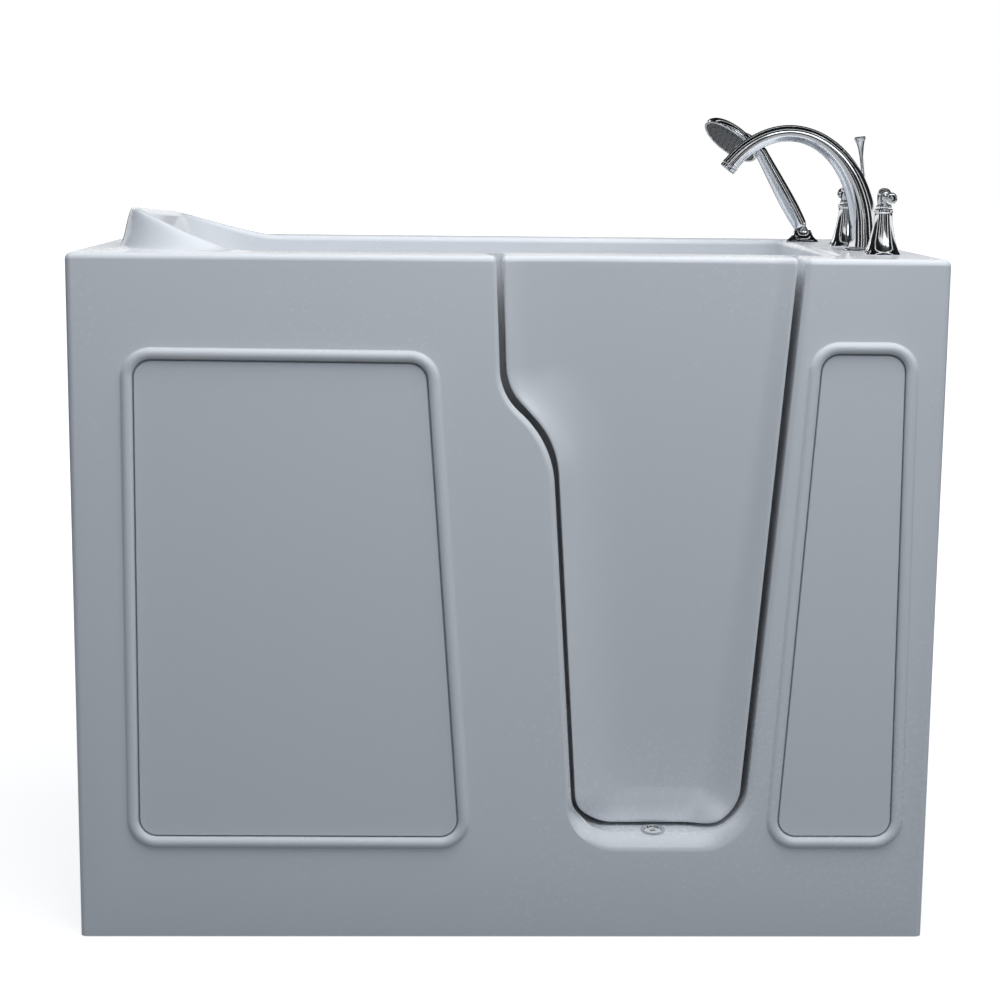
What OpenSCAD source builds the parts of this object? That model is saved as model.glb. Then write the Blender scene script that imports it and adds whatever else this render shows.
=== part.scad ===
// Walk-in bathtub with an inward-opening door, front apron and deck-mounted taps.
// X runs along the tub, Y from the front to the back and Z up from the floor.
// The origin is at the middle of the bottom of the bounding box.

/* [Tub] */
// Overall length of the rim
tub_w = 1168; // [1166:1:1176]
// Depth from the apron's face to the back edge of the rim
tub_d = 672; // [670:1:680]
// Height of the rim above the floor
tub_h = 940; // [938:1:944]
// Thickness of the moulded shell and apron
skin_t = 8; // [7:0.5:9]
// Rounding of the rim's front edge
rim_r = 12; // [8:1:14]
// Air gap under the apron
apron_clear = 1; // [0.5:0.5:3]
// Height of the lip that turns down round the rim
rim_lip_h = 38; // [30:1:44]

/* [Basin] */
// Height of the footwell floor
floor_z = 100; // [96:1:104]
// Height of the seat
seat_z = 560; // [540:1:570]
// Front edge of the seat
seat_front_x = 34; // [20:1:36]
// Right wall of the basin
basin_right_x = 450; // [449:1:452]
// Rear wall of the basin
basin_back_y = 279; // [270:1:285]
// Foot of the backrest
backrest_foot_x = -385; // [-395:1:-375]
// Height of the raised headrest above the rim
headrest_h = 50; // [40:1:55]
// Raised top edge of the backrest
headrest_x = -505; // [-510:1:-500]

/* [Doorway and door] */
// Height of the sill line
sill_z = 146; // [145:1:148]
// Clear gap round the door
door_gap = 5.2; // [4:0.2:6]
// Depth of the front wall from the apron's face to the basin
wall_t = 95; // [95:1:96]
// Thickness of the gasket
gasket_t = 6; // [5:0.5:6]
// Thickness of the door's inner skin
inner_skin_t = 12; // [10:1:12]
// Overlap of the inner skin on the gasket
skin_overlap = 14; // [12:1:15]
// Hinge axis, from the middle of the tub
hinge_x = 412; // [411:1:413]
// Radius of the hinge pins
pin_r = 3; // [3:0.5:3.5]
// Radial clearance of the hinge pins
pin_clear = 0.05; // [0.02:0.01:0.1]

/* [Scoop] */
// Depth of the scoop at the rim
scoop_top_d = 22; // [18:1:26]
// Depth of the scoop at the sill
scoop_low_d = 58; // [52:1:62]
// Radius of the ledge's nose
ledge_r = 14; // [10:1:16]

/* [Access panels] */
// Gap round the access panels
panel_gap = 1.5; // [1:0.1:2]
// Thickness of the access panels
panel_t = 4; // [3:0.5:4.5]
// Width of the raised bead round each panel
bead_w = 15.5; // [12:0.5:17]
// Height of the raised bead
bead_h = 6; // [4:0.5:6]
// Width of the ledge that the panels rest on
panel_ledge = 18; // [16:1:20]
// Radius of the panel's push-in studs
stud_r = 4; // [3:0.5:4]

/* [Taps] */
// Distance of the taps from the middle of the tub
tap_x = 517; // [515:1:519]
// Outside radius of the half-inch pipe thread on the water inlets
inlet_r = 10.4775; // [10.4775]
// Height of the flared tap bells
bell_h = 64; // [60:1:68]
// Lean of the hand shower from upright
wand_lean = 30; // [26:0.5:32]

/* [Waste] */
// Outside radius of the one-and-a-half-inch waste pipe
waste_r = 19.05; // [19.05]
// Height of the waste pipe's axis
waste_z = 58; // [57:1:60]
// Travel of the drain plug
plug_lift = 10; // [8:1:12]

/* [Frame] */
// Side of the square steel tubes
tube_s = 25; // [20:1:25]
// Wall of the square steel tubes
tube_wall = 2; // [1.5:0.5:3]
// Height of the bottom rails above the floor
rail_z = 12; // [12:1:13]

/* [Hidden] */

arc_steps = 8;
half_w = tub_w / 2;
front_y = -(tub_d + bead_h) / 2 + bead_h;
back_y = front_y + tub_d;
wall_y = front_y + wall_t;
above_z = tub_h + 70;
flange_y = front_y + 30;
collar_y = wall_y - skin_t;

// Doorway line on the apron's face, down the left side and up the right
doorway_line = [[-19.5, above_z], [-8.4, 758.5], [61.8, 691.5], [98, sill_z], [327.5, sill_z],
    [395.5, above_z]];
doorway_round = [0, 76, 140, 58, 71, 0];
// The door's own line, a little inside the doorway's at the upper left and on the right
door_line = [[-15.3, above_z], [-5.5, 764], [63.1, 690], [98.3, sill_z], [324.5, sill_z], [390.2, above_z]];
door_round = [0, 79, 123, 58, 67, 0];
// Line where the scoop starts on the apron's face
scoop_line = [[-25.5, above_z], [-17, 758], [53, 686], [91.5, 126], [339, 126], [409, above_z]];
scoop_round = [0, 84, 130, 70, 72, 0];
// Corners of the access panels on the apron's face
left_panel = [[-497, 799.5], [-500, 145.6], [-63, 144.5], [-110.4, 797.5]];
right_panel = [[417, 813.3], [376.7, 146], [533.9, 146], [527.8, 813.3]];
panel_round = [24, 24, 24, 24];

hinge_y = wall_y + 12;
hinge_z = [250, 820];
knuckle_r = 7;
leaf_t = 3;
leaf_half_h = 30;
knuckle_half_h = 14.5;
lip_depth = 7;

latch = [5, 830];
latch_r = 5;
spindle_y = wall_y + 9;
skin_y = wall_y + gasket_t;
inner_y = skin_y + inner_skin_t;
finger_len = 70;

cold_y = front_y + 130;
spout_y = front_y + 262;
hot_y = front_y + 395;
shower = [479, front_y + 557];
drain = [300, 0];
stack_x = 510;
outlet_x = 466;
overflow_z = 800;
spigot_len = 40;
threshold = [208, front_y + 33];
threshold_z = sill_z - 6;
threshold_r = 17;

frame_y = [front_y + 23, back_y - 39];
foot_x = [-half_w + 30, 72, half_w - 30];
bearer_x = [60, 415];
bearer_y = [-162, 138];
seat_frame_x = [-312, -18];

shell_white = [0.93, 0.94, 0.95];
panel_white = [0.91, 0.92, 0.93];
chrome = [0.78, 0.8, 0.82];
steel = [0.55, 0.57, 0.6];
zinc = [0.7, 0.71, 0.72];
rubber = [0.2, 0.2, 0.21];
brass = [0.78, 0.64, 0.3];
pvc = [0.86, 0.86, 0.84];
foam = [0.9, 0.86, 0.68];
grey_face = [0.3, 0.31, 0.32];

// ---- Outlines ----

function unit(v) = v / norm(v);

// Where the line through p along u meets the line through q along v
function crossing(p, u, q, v) = p + u * (cross(q - p, v) / cross(u, v));

// Arc of radius r that rounds the corner a-p-b
function corner_arc(a, p, b, r) =
    let (u = unit(a - p), w = unit(b - p), half = acos(u * w) / 2)
    let (c = p + unit(u + w) * r / sin(half), s = p + u * r / tan(half), e = p + w * r / tan(half))
    let (a0 = atan2(s.y - c.y, s.x - c.x), a1 = atan2(e.y - c.y, e.x - c.x))
    let (sweep = (a1 - a0 + 540) % 360 - 180)
    [for (i = [0:arc_steps]) c + r * [cos(a0 + sweep * i / arc_steps), sin(a0 + sweep * i / arc_steps)]];

// Closed outline through the corners v, each rounded by its radius
function rounded(v, radii) = let (n = len(v))
    [for (i = [0:n - 1]) each radii[i] > 0
        ? corner_arc(v[(i + n - 1) % n], v[i], v[(i + 1) % n], radii[i]) : [v[i]]];

// Corners moved outwards by d, for an outline that runs anticlockwise
function grown(v, d) = let (n = len(v)) [for (i = [0:n - 1])
    let (u = unit(v[i] - v[(i + n - 1) % n]), w = unit(v[(i + 1) % n] - v[i]))
    crossing(v[i] + d * [u.y, -u.x], u, v[i] + d * [w.y, -w.x], w)];

// Corner radii that keep the rounding parallel once the corners have moved by d
function grown_round(v, radii, d) = let (n = len(v)) [for (i = [0:n - 1])
    let (bend = cross(v[i] - v[(i + n - 1) % n], v[(i + 1) % n] - v[i]))
    radii[i] == 0 ? 0 : max(1, radii[i] + (bend > 0 ? d : -d))];

function outline(v, radii, d) = rounded(grown(v, d), grown_round(v, radii, d));

// ---- Solids ----

module along_x(x0, x1) {
    translate([x0, 0, 0]) rotate([90, 0, 90]) linear_extrude(x1 - x0) children();
}

module along_y(y0, y1) {
    translate([0, y1, 0]) rotate([90, 0, 0]) linear_extrude(y1 - y0) children();
}

module box(low, high) {
    translate(low) cube(high - low);
}

// Cylinder along Y
module rod_y(x, y0, y1, z, r) {
    translate([x, y1, z]) rotate([90, 0, 0]) cylinder(h = y1 - y0, r = r, $fn = 48);
}

// Cylinder along X
module rod_x(x0, x1, y, z, r) {
    translate([x0, y, z]) rotate([0, 90, 0]) cylinder(h = x1 - x0, r = r, $fn = 48);
}

module rod_z(x, y, z0, z1, r) {
    translate([x, y, z0]) cylinder(h = z1 - z0, r = r, $fn = 48);
}

module pipe_z(x, y, z0, z1, r, bore) {
    difference() {
        rod_z(x, y, z0, z1, r);
        rod_z(x, y, z0 - 1, z1 + 1, bore);
    }
}

module turned(profile) {
    rotate_extrude($fn = 64) polygon(profile);
}

// Square steel tube between two corners, hollow along its longest side
module square_tube(low, high) {
    size = high - low;
    run = max(size);
    wall = [for (s = size) s == run ? -1 : tube_wall];
    difference() {
        box(low, high);
        box(low + wall, high - wall);
    }
}

function side_faces(m, n, closed) = [for (i = [0:(closed ? m - 1 : m - 2)]) for (j = [0:n - 1])
    let (a = i * n + j, b = i * n + (j + 1) % n, c = (i + 1) % m * n + (j + 1) % n, d = (i + 1) % m * n + j)
    each [[a, b, c], [a, c, d]]];

// Solid with a surface through rings of equal length and a flat cap at each end
module skinned(rings) {
    m = len(rings);
    n = len(rings[0]);
    caps = [[for (j = [n - 1:-1:0]) j], [for (j = [0:n - 1]) (m - 1) * n + j]];
    polyhedron([for (ring = rings) each ring], concat(side_faces(m, n, false), caps), convexity = 6);
}

// Solid ring: the rings run once round its section
module skinned_ring(rings) {
    polyhedron([for (ring = rings) each ring], side_faces(len(rings), len(rings[0]), true), convexity = 6);
}

function at_y(points, y) = [for (p = points) [p.x, y, p.y]];

// ---- Doorway ----

// How far the door's front edge swings past a jamb corner, at a depth behind the apron's face
function swing_past(x, depth) = let (reach = hinge_x - x, deep = hinge_y - front_y)
    sqrt(pow(reach, 2) + pow(deep - lip_depth, 2) - pow(deep - max(lip_depth, depth), 2)) - reach;

// Doorway corners at a depth: the left jamb makes way for the swing of the door
function doorway_at(depth) = [for (i = [0:5])
    doorway_line[i] - (i < 4 ? [swing_past(doorway_line[i].x, depth), 0] : [0, 0])];

function doorway_ring(depth, d) = outline(doorway_at(depth), doorway_round, d);

module doorway_cut() {
    depths = [-20, lip_depth, 40, 65, wall_t, wall_t + 20];
    skinned([for (depth = depths)
        at_y(doorway_ring(min(depth, wall_t), door_gap / 2), front_y + depth)]);
}

// ---- Scoop ----

scoop_left = [[126, 157], [127, 146], [130, 133.6], [134, 124], [141, 113], [149, 105], [159, 97.4],
    [171, 91.6], [181, 88.5], [191, 87], [647, 55.3], [661, 52.7], [672, 49.5], [683, 45.3], [693, 40.2],
    [703, 34.2], [712, 27.4], [737, 3.5], [746, -3.2], [752, -7.3], [760, -10.8], [768, -14.1],
    [779, -16.8], [790, -18.1], [above_z, -25.5]];
function scoop_x0(z) = lookup(z, scoop_left);
scoop_right = [[126, 272.5], [127, 283], [130, 296], [136, 308.4], [143, 319], [151, 327], [162, 334.7],
    [174, 340.4], [187, 343.6], [above_z, 409]];
function scoop_x1(z) = lookup(z, scoop_right);

function ease(t) = let (s = min(1, max(0, t))) s * s * (3 - 2 * s);

ledge_foot_z = 128;
ledge_back_d = 50;
flank_left_w = 110;

// Depth of the ledge's top behind the face at a height: a round nose, then a gentle rise to the sill
function ledge_depth(z) = let (nose_z = ledge_foot_z + ledge_r) z < nose_z
    ? ledge_r - sqrt(pow(ledge_r, 2) - pow(z - ledge_foot_z, 2))
    : z < sill_z ? ledge_r + (ledge_back_d - ledge_r) * (z - nose_z) / (sill_z - nose_z)
    : ledge_back_d + (scoop_low_d - ledge_back_d) * sin(90 * min(1, (z - sill_z) / 45));

// Depth of the scoop at a height and at a fraction u of the way across
function scoop_depth(z, u) = let (x0 = scoop_x0(z), x1 = scoop_x1(z), x = x0 + u * (x1 - x0))
    let (middle = scoop_low_d + (scoop_top_d - scoop_low_d) * (z - sill_z) / (tub_h - sill_z))
    let (right_w = 50 + 25 * (tub_h - z) / (tub_h - sill_z))
    let (left = 1 - pow(1 - min(1, (x - x0) / flank_left_w), 3), right = ease((x1 - x) / right_w))
    min(max(0, ledge_depth(z)), middle * min(left, right)) - (u == 0 || u == 1 ? 1 : 0);

scoop_rows = [128.3, 130, 132.5, 136, 141.8, 143, 144.5, 145.9, 151, 160, 172, 190, 215, 250, 300, 370,
    450, 530, 600, 647, 661, 672, 683, 693, 703, 712, 725, 737, 746, 752, 760, 768, 779, 790, 850, 890,
    930, above_z];
scoop_columns = [0, 0.02, 0.05, 0.08, 0.11, 0.15, 0.2, 0.3, 0.5, 0.68, 0.74, 0.78, 0.82, 0.86, 0.9,
    0.94, 0.97, 1];

// Solid that fills the scoop out to 20 mm in front of the apron's face
module scoop_cut() {
    skinned([for (z = scoop_rows)
        concat([for (u = [1, 0]) [scoop_x0(z) + u * (scoop_x1(z) - scoop_x0(z)), front_y - 20, z]],
            [for (u = scoop_columns)
                [scoop_x0(z) + u * (scoop_x1(z) - scoop_x0(z)), front_y + scoop_depth(z, u), z]])]);
}

// Everything inside the rounded front edge of the rim and the apron's rounded ends
module rim_envelope(low_z) {
    corner = [front_y + rim_r, tub_h - rim_r];
    intersection() {
        along_x(-half_w, half_w) polygon(concat(
            [[front_y, low_z], [wall_y + 40, low_z], [wall_y + 40, tub_h]],
            [for (a = [90:11.25:180]) corner + rim_r * [cos(a), sin(a)]]));
        translate([0, 0, low_z - 1]) linear_extrude(tub_h) translate([0, front_y + 100])
            polygon(rounded([[-half_w, -100], [half_w, -100], [half_w, 100], [-half_w, 100]], [8, 8, 0, 0]));
    }
}

// ---- Shell ----

// Basin seen from the front: backrest, seat, riser, footwell floor and right wall
basin_line = [[headrest_x - 5.3, tub_h + 70], [backrest_foot_x, seat_z], [seat_front_x, seat_z],
    [seat_front_x + 10, floor_z], [basin_right_x - 8, floor_z], [basin_right_x + 1, tub_h + 70]];
basin_round = [0, 60, 25, 30, 40, 0];

module basin(d) {
    polygon(outline(basin_line, basin_round, d));
}

// Front edge of the shell's deck, which makes room for the thick apron round the door
module collar_outline() {
    polygon(outline(scoop_line, scoop_round, 10));
}

module headrest_block() {
    top = tub_h + headrest_h;
    intersection() {
        along_y(front_y + 62, back_y - 22) polygon(concat([[-538, tub_h - 2], [-538, tub_h]],
            [for (a = [170:-20:90]) [-518, top - 14] + [16 * cos(a), 14 * sin(a)]],
            [[headrest_x + 12, top - 2], [-375, tub_h], [-375, tub_h - 2]]));
        along_x(-half_w, 0) polygon([[front_y + 62, tub_h - 3], [back_y - 22, tub_h - 3],
            [back_y - 34, top + 1], [front_y + 82, top + 1]]);
    }
}

module deck() {
    plan = rounded([[-half_w, flange_y], [half_w, flange_y], [half_w, back_y], [-half_w, back_y]],
        [0, 0, 20, 20]);
    inner = rounded([[-half_w + skin_t, flange_y - 1], [half_w - skin_t, flange_y - 1],
        [half_w - skin_t, back_y - skin_t], [-half_w + skin_t, back_y - skin_t]], [0, 0, 12, 12]);
    difference() {
        translate([0, 0, tub_h - rim_lip_h]) linear_extrude(rim_lip_h) polygon(plan);
        translate([0, 0, tub_h - rim_lip_h - 1]) linear_extrude(rim_lip_h + 1 - skin_t) polygon(inner);
    }
}

module tub_shell() color(shell_white) {
    difference() {
        union() {
            deck();
            headrest_block();
            intersection() {
                along_y(wall_y - skin_t, basin_back_y + skin_t) basin(skin_t);
                box([-half_w, front_y, 0], [half_w, back_y, tub_h - 2]);
            }
        }
        along_y(wall_y, basin_back_y) basin(0);
        along_y(front_y - 1, collar_y) collar_outline();
        along_y(collar_y - 1, wall_y + 1) polygon(outline(doorway_at(wall_t), doorway_round, door_gap / 2));
        rod_z(drain.x, drain.y, floor_z - 20, floor_z + 1, 22.2);
        rod_x(basin_right_x - 10, basin_right_x + 20, drain.y, overflow_z, 20);
        for (y = [cold_y, spout_y, hot_y]) rod_z(tap_x, y, tub_h - 20, tub_h + 1, 16);
        rod_z(shower.x, shower.y, tub_h - 20, tub_h + 1, 12);
    }
}

// ---- Apron ----

module bead(v) {
    crest = [for (i = [0:6]) 180 - 30 * i];
    section = concat([[1, 2]],
        [for (a = crest) [1 + bead_w / 2 * (1 + cos(a)), -bead_h * sin(a)]], [[1 + bead_w, 2]]);
    skinned_ring([for (s = section) at_y(outline(v, panel_round, s.x), front_y + s.y)]);
}

module panel_opening(v) {
    seat_y = front_y + skin_t - 3;
    along_y(front_y - 1, seat_y) polygon(outline(v, panel_round, panel_gap / 2));
    along_y(seat_y - 1, front_y + skin_t + 1) polygon(outline(v, panel_round, -panel_ledge));
    for (p = stud_places(v)) rod_y(p.x, seat_y - 1, front_y + skin_t + 1, p.y, stud_r + 1);
}

// Stud places: in from the corners and at the middle of the tall sides
function stud_places(v) = let (c = grown(v, -panel_ledge / 2))
    [for (i = [0:3]) let (m = (c[i] + c[(i + 2) % 4]) / 2) c[i] + unit(m - c[i]) * 12,
        (c[0] + c[1]) / 2, (c[2] + c[3]) / 2];

module front_apron() color(shell_white) {
    difference() {
        union() {
            intersection() {
                rim_envelope(apron_clear);
                union() {
                    box([-half_w, front_y, apron_clear], [half_w, front_y + skin_t, tub_h]);
                    box([-half_w, front_y, tub_h - skin_t], [half_w, flange_y, tub_h]);
                    for (x = [-half_w, half_w - skin_t])
                        box([x, front_y, apron_clear], [x + skin_t, flange_y, tub_h]);
                    along_y(front_y, collar_y) intersection() {
                        collar_outline();
                        translate([-half_w, 0]) square([tub_w, tub_h]);
                    }
                }
            }
            bead(left_panel);
            bead(right_panel);
        }
        scoop_cut();
        doorway_cut();
        panel_opening(left_panel);
        panel_opening(right_panel);
        rod_z(threshold.x, threshold.y, 100, 160, 12);
        rod_z(threshold.x, threshold.y, threshold_z, 160, threshold_r + 0.2);
    }
}

// ---- Access panels ----

module panel(v) {
    panel_y = front_y + skin_t - 3 - panel_t;
    color(panel_white) along_y(panel_y, panel_y + panel_t) polygon(outline(v, panel_round, -panel_gap / 2));
}

module panel_studs(v) {
    y = front_y + skin_t - 3;
    color(zinc) for (p = stud_places(v)) rod_y(p.x, y, y + 16, p.y, stud_r);
}

module access_panel_left() {
    panel(left_panel);
}

module access_panel_right() {
    panel(right_panel);
}

module panel_studs_left() {
    panel_studs(left_panel);
}

module panel_studs_right() {
    panel_studs(right_panel);
}

module panel_catches() {
    y = front_y + skin_t;
    color(zinc) for (p = concat(stud_places(left_panel), stud_places(right_panel))) difference() {
        rod_y(p.x, y, y + 8, p.y, stud_r + 4);
        rod_y(p.x, y - 1, y + 9, p.y, stud_r + pin_clear);
    }
}

// ---- Steel frame ----

module bottom_rails() {
    color(steel) for (y = frame_y) difference() {
        square_tube([-half_w + 10, y, rail_z], [half_w - 10, y + tube_s, rail_z + tube_s]);
        for (x = foot_x) rod_z(x, y + tube_s / 2, rail_z - 1, rail_z + 5, 5.1);
    }
}

module cross_rails() {
    color(steel) for (x = [-half_w + 10, bearer_x[0], bearer_x[1], half_w - 10 - tube_s])
        square_tube([x, frame_y[0] + tube_s, rail_z], [x + tube_s, frame_y[1], rail_z + tube_s]);
}

module uprights() {
    top = seat_z - skin_t - tube_s;
    color(steel) {
        for (x = [-half_w + 10, half_w - 10 - tube_s]) for (y = frame_y)
            square_tube([x, y, rail_z + tube_s], [x + tube_s, y + tube_s, tub_h - skin_t]);
        for (x = seat_frame_x) for (y = frame_y)
            square_tube([x, y, rail_z + tube_s], [x + tube_s, y + tube_s, top]);
    }
}

module seat_bearers() {
    top = seat_z - skin_t;
    color(steel) for (x = seat_frame_x)
        square_tube([x, frame_y[0], top - tube_s], [x + tube_s, frame_y[1] + tube_s, top]);
}

module footwell_bearers() {
    top = floor_z - skin_t;
    color(steel) for (y = bearer_y) {
        square_tube([bearer_x[0], y, top - tube_s], [bearer_x[1] + tube_s, y + tube_s, top]);
        for (x = bearer_x) box([x, y, rail_z + tube_s], [x + tube_s, y + tube_s, top - tube_s]);
    }
}

module levelling_feet() {
    color(rubber) for (x = foot_x) for (y = frame_y) translate([x, y + tube_s / 2, 0]) {
        cylinder(h = 5, r = 20, $fn = 48);
        cylinder(h = rail_z + 16, r = 5, $fn = 48);
    }
}

module foot_lock_nuts() {
    color(zinc) for (x = foot_x) for (y = frame_y) translate([x, y + tube_s / 2, rail_z - 5]) difference() {
        cylinder(h = 5, r = 9.5, $fn = 6);
        translate([0, 0, -1]) cylinder(h = 7, r = 5 + pin_clear, $fn = 48);
    }
}

// ---- Door ----

module door_plan(d) {
    intersection() {
        polygon(outline(door_line, door_round, d));
        translate([-half_w, 0]) square([tub_w, tub_h]);
    }
}

core_depth = 68;

module core_pocket(d) {
    intersection() {
        door_plan(-door_gap / 2 - 16 + d);
        translate([-half_w, 0]) square([tub_w, tub_h - 25 + d]);
    }
}

module door_outer_skin() color(shell_white) {
    difference() {
        intersection() {
            rim_envelope(apron_clear);
            along_y(front_y, skin_y) door_plan(-door_gap / 2);
        }
        scoop_cut();
        along_y(front_y + core_depth, skin_y + 1) core_pocket(0);
        rod_y(latch.x, front_y + 60, skin_y + 1, latch[1], latch_r + 2);
    }
}

module door_core() {
    color(foam) difference() {
        along_y(front_y + core_depth, skin_y) core_pocket(-0.5);
        rod_y(latch.x, front_y + 60, skin_y + 1, latch[1], latch_r + 7);
    }
}

module door_inner_skin() {
    color(shell_white) difference() {
        along_y(skin_y, inner_y) intersection() {
            polygon(outline(doorway_at(wall_t), doorway_round, door_gap / 2 + skin_overlap));
            translate([-half_w, 0]) square([half_w + hinge_x - 9, tub_h - 1]);
        }
        rod_y(latch.x, skin_y - 1, inner_y + 1, latch[1], latch_r + pin_clear);
    }
}

module door_gasket() {
    color(rubber) along_y(wall_y, skin_y - 0.2) intersection() {
        difference() {
            polygon(outline(doorway_at(wall_t), doorway_round, door_gap / 2 + 12));
            polygon(outline(doorway_at(wall_t), doorway_round, door_gap / 2 + 2));
        }
        translate([-half_w, 0]) square([half_w + hinge_x - 11, tub_h - skin_t]);
    }
}

module door_hinge_leaves() {
    color(steel) for (z = hinge_z) difference() {
        union() {
            box([hinge_x - 52, inner_y, z - leaf_half_h], [hinge_x - 9, inner_y + leaf_t, z + leaf_half_h]);
            box([hinge_x - 10, inner_y, z - knuckle_half_h],
                [hinge_x - 3, inner_y + leaf_t, z + knuckle_half_h]);
            rod_z(hinge_x, hinge_y, z - knuckle_half_h, z + knuckle_half_h, knuckle_r);
        }
        rod_z(hinge_x, hinge_y, z - leaf_half_h, z + leaf_half_h, pin_r + pin_clear);
    }
}

module frame_hinge_leaves() {
    color(steel) for (z = hinge_z) difference() {
        union() {
            box([hinge_x + 8, wall_y, z - leaf_half_h], [hinge_x + 30, wall_y + leaf_t, z + leaf_half_h]);
            for (s = [-1, 1]) translate([0, 0, z + s * (leaf_half_h + knuckle_half_h + 0.5) / 2]) {
                h = (leaf_half_h - knuckle_half_h - 0.5) / 2;
                box([hinge_x + 1, wall_y, -h], [hinge_x + 9, hinge_y - 5, h]);
                rod_z(hinge_x, hinge_y, -h, h, knuckle_r);
            }
        }
        rod_z(hinge_x, hinge_y, z - leaf_half_h - 1, z + leaf_half_h + 1, pin_r + pin_clear);
    }
}

module hinge_pins() {
    color(zinc) for (z = hinge_z) {
        rod_z(hinge_x, hinge_y, z - leaf_half_h - 2, z + leaf_half_h, pin_r);
        rod_z(hinge_x, hinge_y, z + leaf_half_h, z + leaf_half_h + 3, pin_r + 2);
    }
}

module door_hinge_screws() {
    color(zinc) for (z = hinge_z) for (s = [-1, 1])
        rod_y(hinge_x - 30, inner_y + leaf_t, inner_y + leaf_t + 2.5, z + s * 20, 4.5);
}

module frame_hinge_screws() {
    color(zinc) for (z = hinge_z) for (s = [-1, 1])
        rod_y(hinge_x + 19, wall_y + leaf_t, wall_y + leaf_t + 2.5, z + s * 20, 4.5);
}

// ---- Latch ----

module latch_escutcheon() {
    color(chrome) difference() {
        rod_y(latch.x, inner_y, inner_y + 2, latch[1], 20);
        rod_y(latch.x, inner_y - 1, inner_y + 3, latch[1], latch_r + pin_clear);
    }
}

// Spindle through the inner skin, with the lever upright while the door is unlatched
module latch_lever() {
    lever_y = inner_y + 12;
    color(chrome) {
        rod_y(latch.x, spindle_y, lever_y, latch[1], latch_r);
        rod_y(latch.x, lever_y, lever_y + 10, latch[1], 12);
        translate([latch.x, lever_y + 5, latch[1]]) {
            cylinder(h = 78, r1 = 6, r2 = 8, $fn = 48);
            translate([0, 0, 78]) sphere(r = 8, $fn = 48);
        }
    }
}

module latch_finger() {
    y0 = inner_y + 3;
    color(steel) difference() {
        along_y(y0, y0 + 5) union() {
            translate(latch) circle(r = 12, $fn = 48);
            translate(latch - [8, finger_len]) square([16, finger_len]);
        }
        rod_y(latch.x, y0 - 1, y0 + 6, latch[1], latch_r + pin_clear);
    }
}

module latch_keeper() {
    x = latch.x - finger_len;
    color(steel) {
        box([x - 23, wall_y, latch[1] - 15], [x - 7, inner_y + 10, latch[1] + 15]);
        box([x - 23, inner_y + 10, latch[1] - 15], [x + 13, inner_y + 14, latch[1] + 15]);
    }
}

// ---- Waste ----

module drain_flange() {
    color(chrome) translate([drain.x, drain.y, 0]) difference() {
        union() {
            turned([[18.5, floor_z - 28], [22, floor_z - 28], [22, floor_z], [35, floor_z],
                [35, floor_z + 1], [28, floor_z + 3], [18.5, floor_z + 1]]);
            translate([-19, -2, floor_z - 24]) cube([38, 4, 5]);
            translate([-2, -19, floor_z - 24]) cube([4, 38, 5]);
            translate([0, 0, floor_z - 24]) cylinder(h = 5, r = 7, $fn = 48);
        }
        translate([0, 0, floor_z - 30]) cylinder(h = 20, r = 4 + pin_clear, $fn = 48);
    }
}

module drain_shoe() {
    top = floor_z - skin_t;
    color(pvc) difference() {
        union() {
            rod_z(drain.x, drain.y, waste_z - 23, top, 27);
            rod_x(drain.x, drain.x + 44, drain.y, waste_z, 23);
        }
        rod_z(drain.x, drain.y, floor_z - 28, top + 1, 22.2);
        rod_z(drain.x, drain.y, waste_z - 18, floor_z - 27, 18.5);
        rod_x(drain.x, drain.x + 25, drain.y, waste_z, 17.5);
        rod_x(drain.x + 24, drain.x + 45, drain.y, waste_z, waste_r + pin_clear);
    }
}

module drain_plug() {
    foot = floor_z - 30 - plug_lift;
    color(chrome) translate([drain.x, drain.y, 0]) turned([[0, foot], [4, foot], [4, floor_z + 3.2],
        [30, floor_z + 3.2], [31, floor_z + 5], [24, floor_z + 8], [0, floor_z + 9.5]]);
}

// Horizontal waste from the shoe to the stack, with a tee to the back of the tub
module waste_pipe() {
    bore = waste_r - 1.5;
    socket_r = waste_r + 4;
    tee_r = 22;
    tee_half = 22;
    tee_branch = 36;
    outlet_end = back_y - 8;
    color(pvc) difference() {
        union() {
            rod_x(drain.x + 24, stack_x, drain.y, waste_z, waste_r);
            rod_x(outlet_x - tee_half, outlet_x + tee_half, drain.y, waste_z, tee_r);
            rod_z(stack_x, drain.y, waste_z - waste_r, waste_z + 40, socket_r);
            rod_y(outlet_x, drain.y, drain.y + tee_branch, waste_z, tee_r);
            rod_y(outlet_x, drain.y, outlet_end, waste_z, waste_r);
            rod_y(outlet_x, outlet_end - spigot_len - 30, outlet_end - spigot_len, waste_z, socket_r);
        }
        rod_x(drain.x + 23, stack_x, drain.y, waste_z, bore);
        rod_z(stack_x, drain.y, waste_z - 14, waste_z + 20, bore);
        rod_z(stack_x, drain.y, waste_z + 19, waste_z + 41, waste_r + pin_clear);
        rod_y(outlet_x, drain.y, back_y, waste_z, bore);
    }
}

module overflow_pipe() {
    outer_x = basin_right_x + skin_t;
    color(pvc) difference() {
        union() {
            rod_z(stack_x, drain.y, waste_z + 20, overflow_z, waste_r);
            translate([stack_x, drain.y, overflow_z]) sphere(r = waste_r, $fn = 48);
            rod_x(outer_x, stack_x, drain.y, overflow_z, waste_r);
            rod_x(outer_x, outer_x + 5, drain.y, overflow_z, 30);
        }
        rod_z(stack_x, drain.y, waste_z + 19, overflow_z, waste_r - 1.5);
        rod_x(outer_x - 1, stack_x, drain.y, overflow_z, waste_r - 1.5);
    }
}

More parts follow.
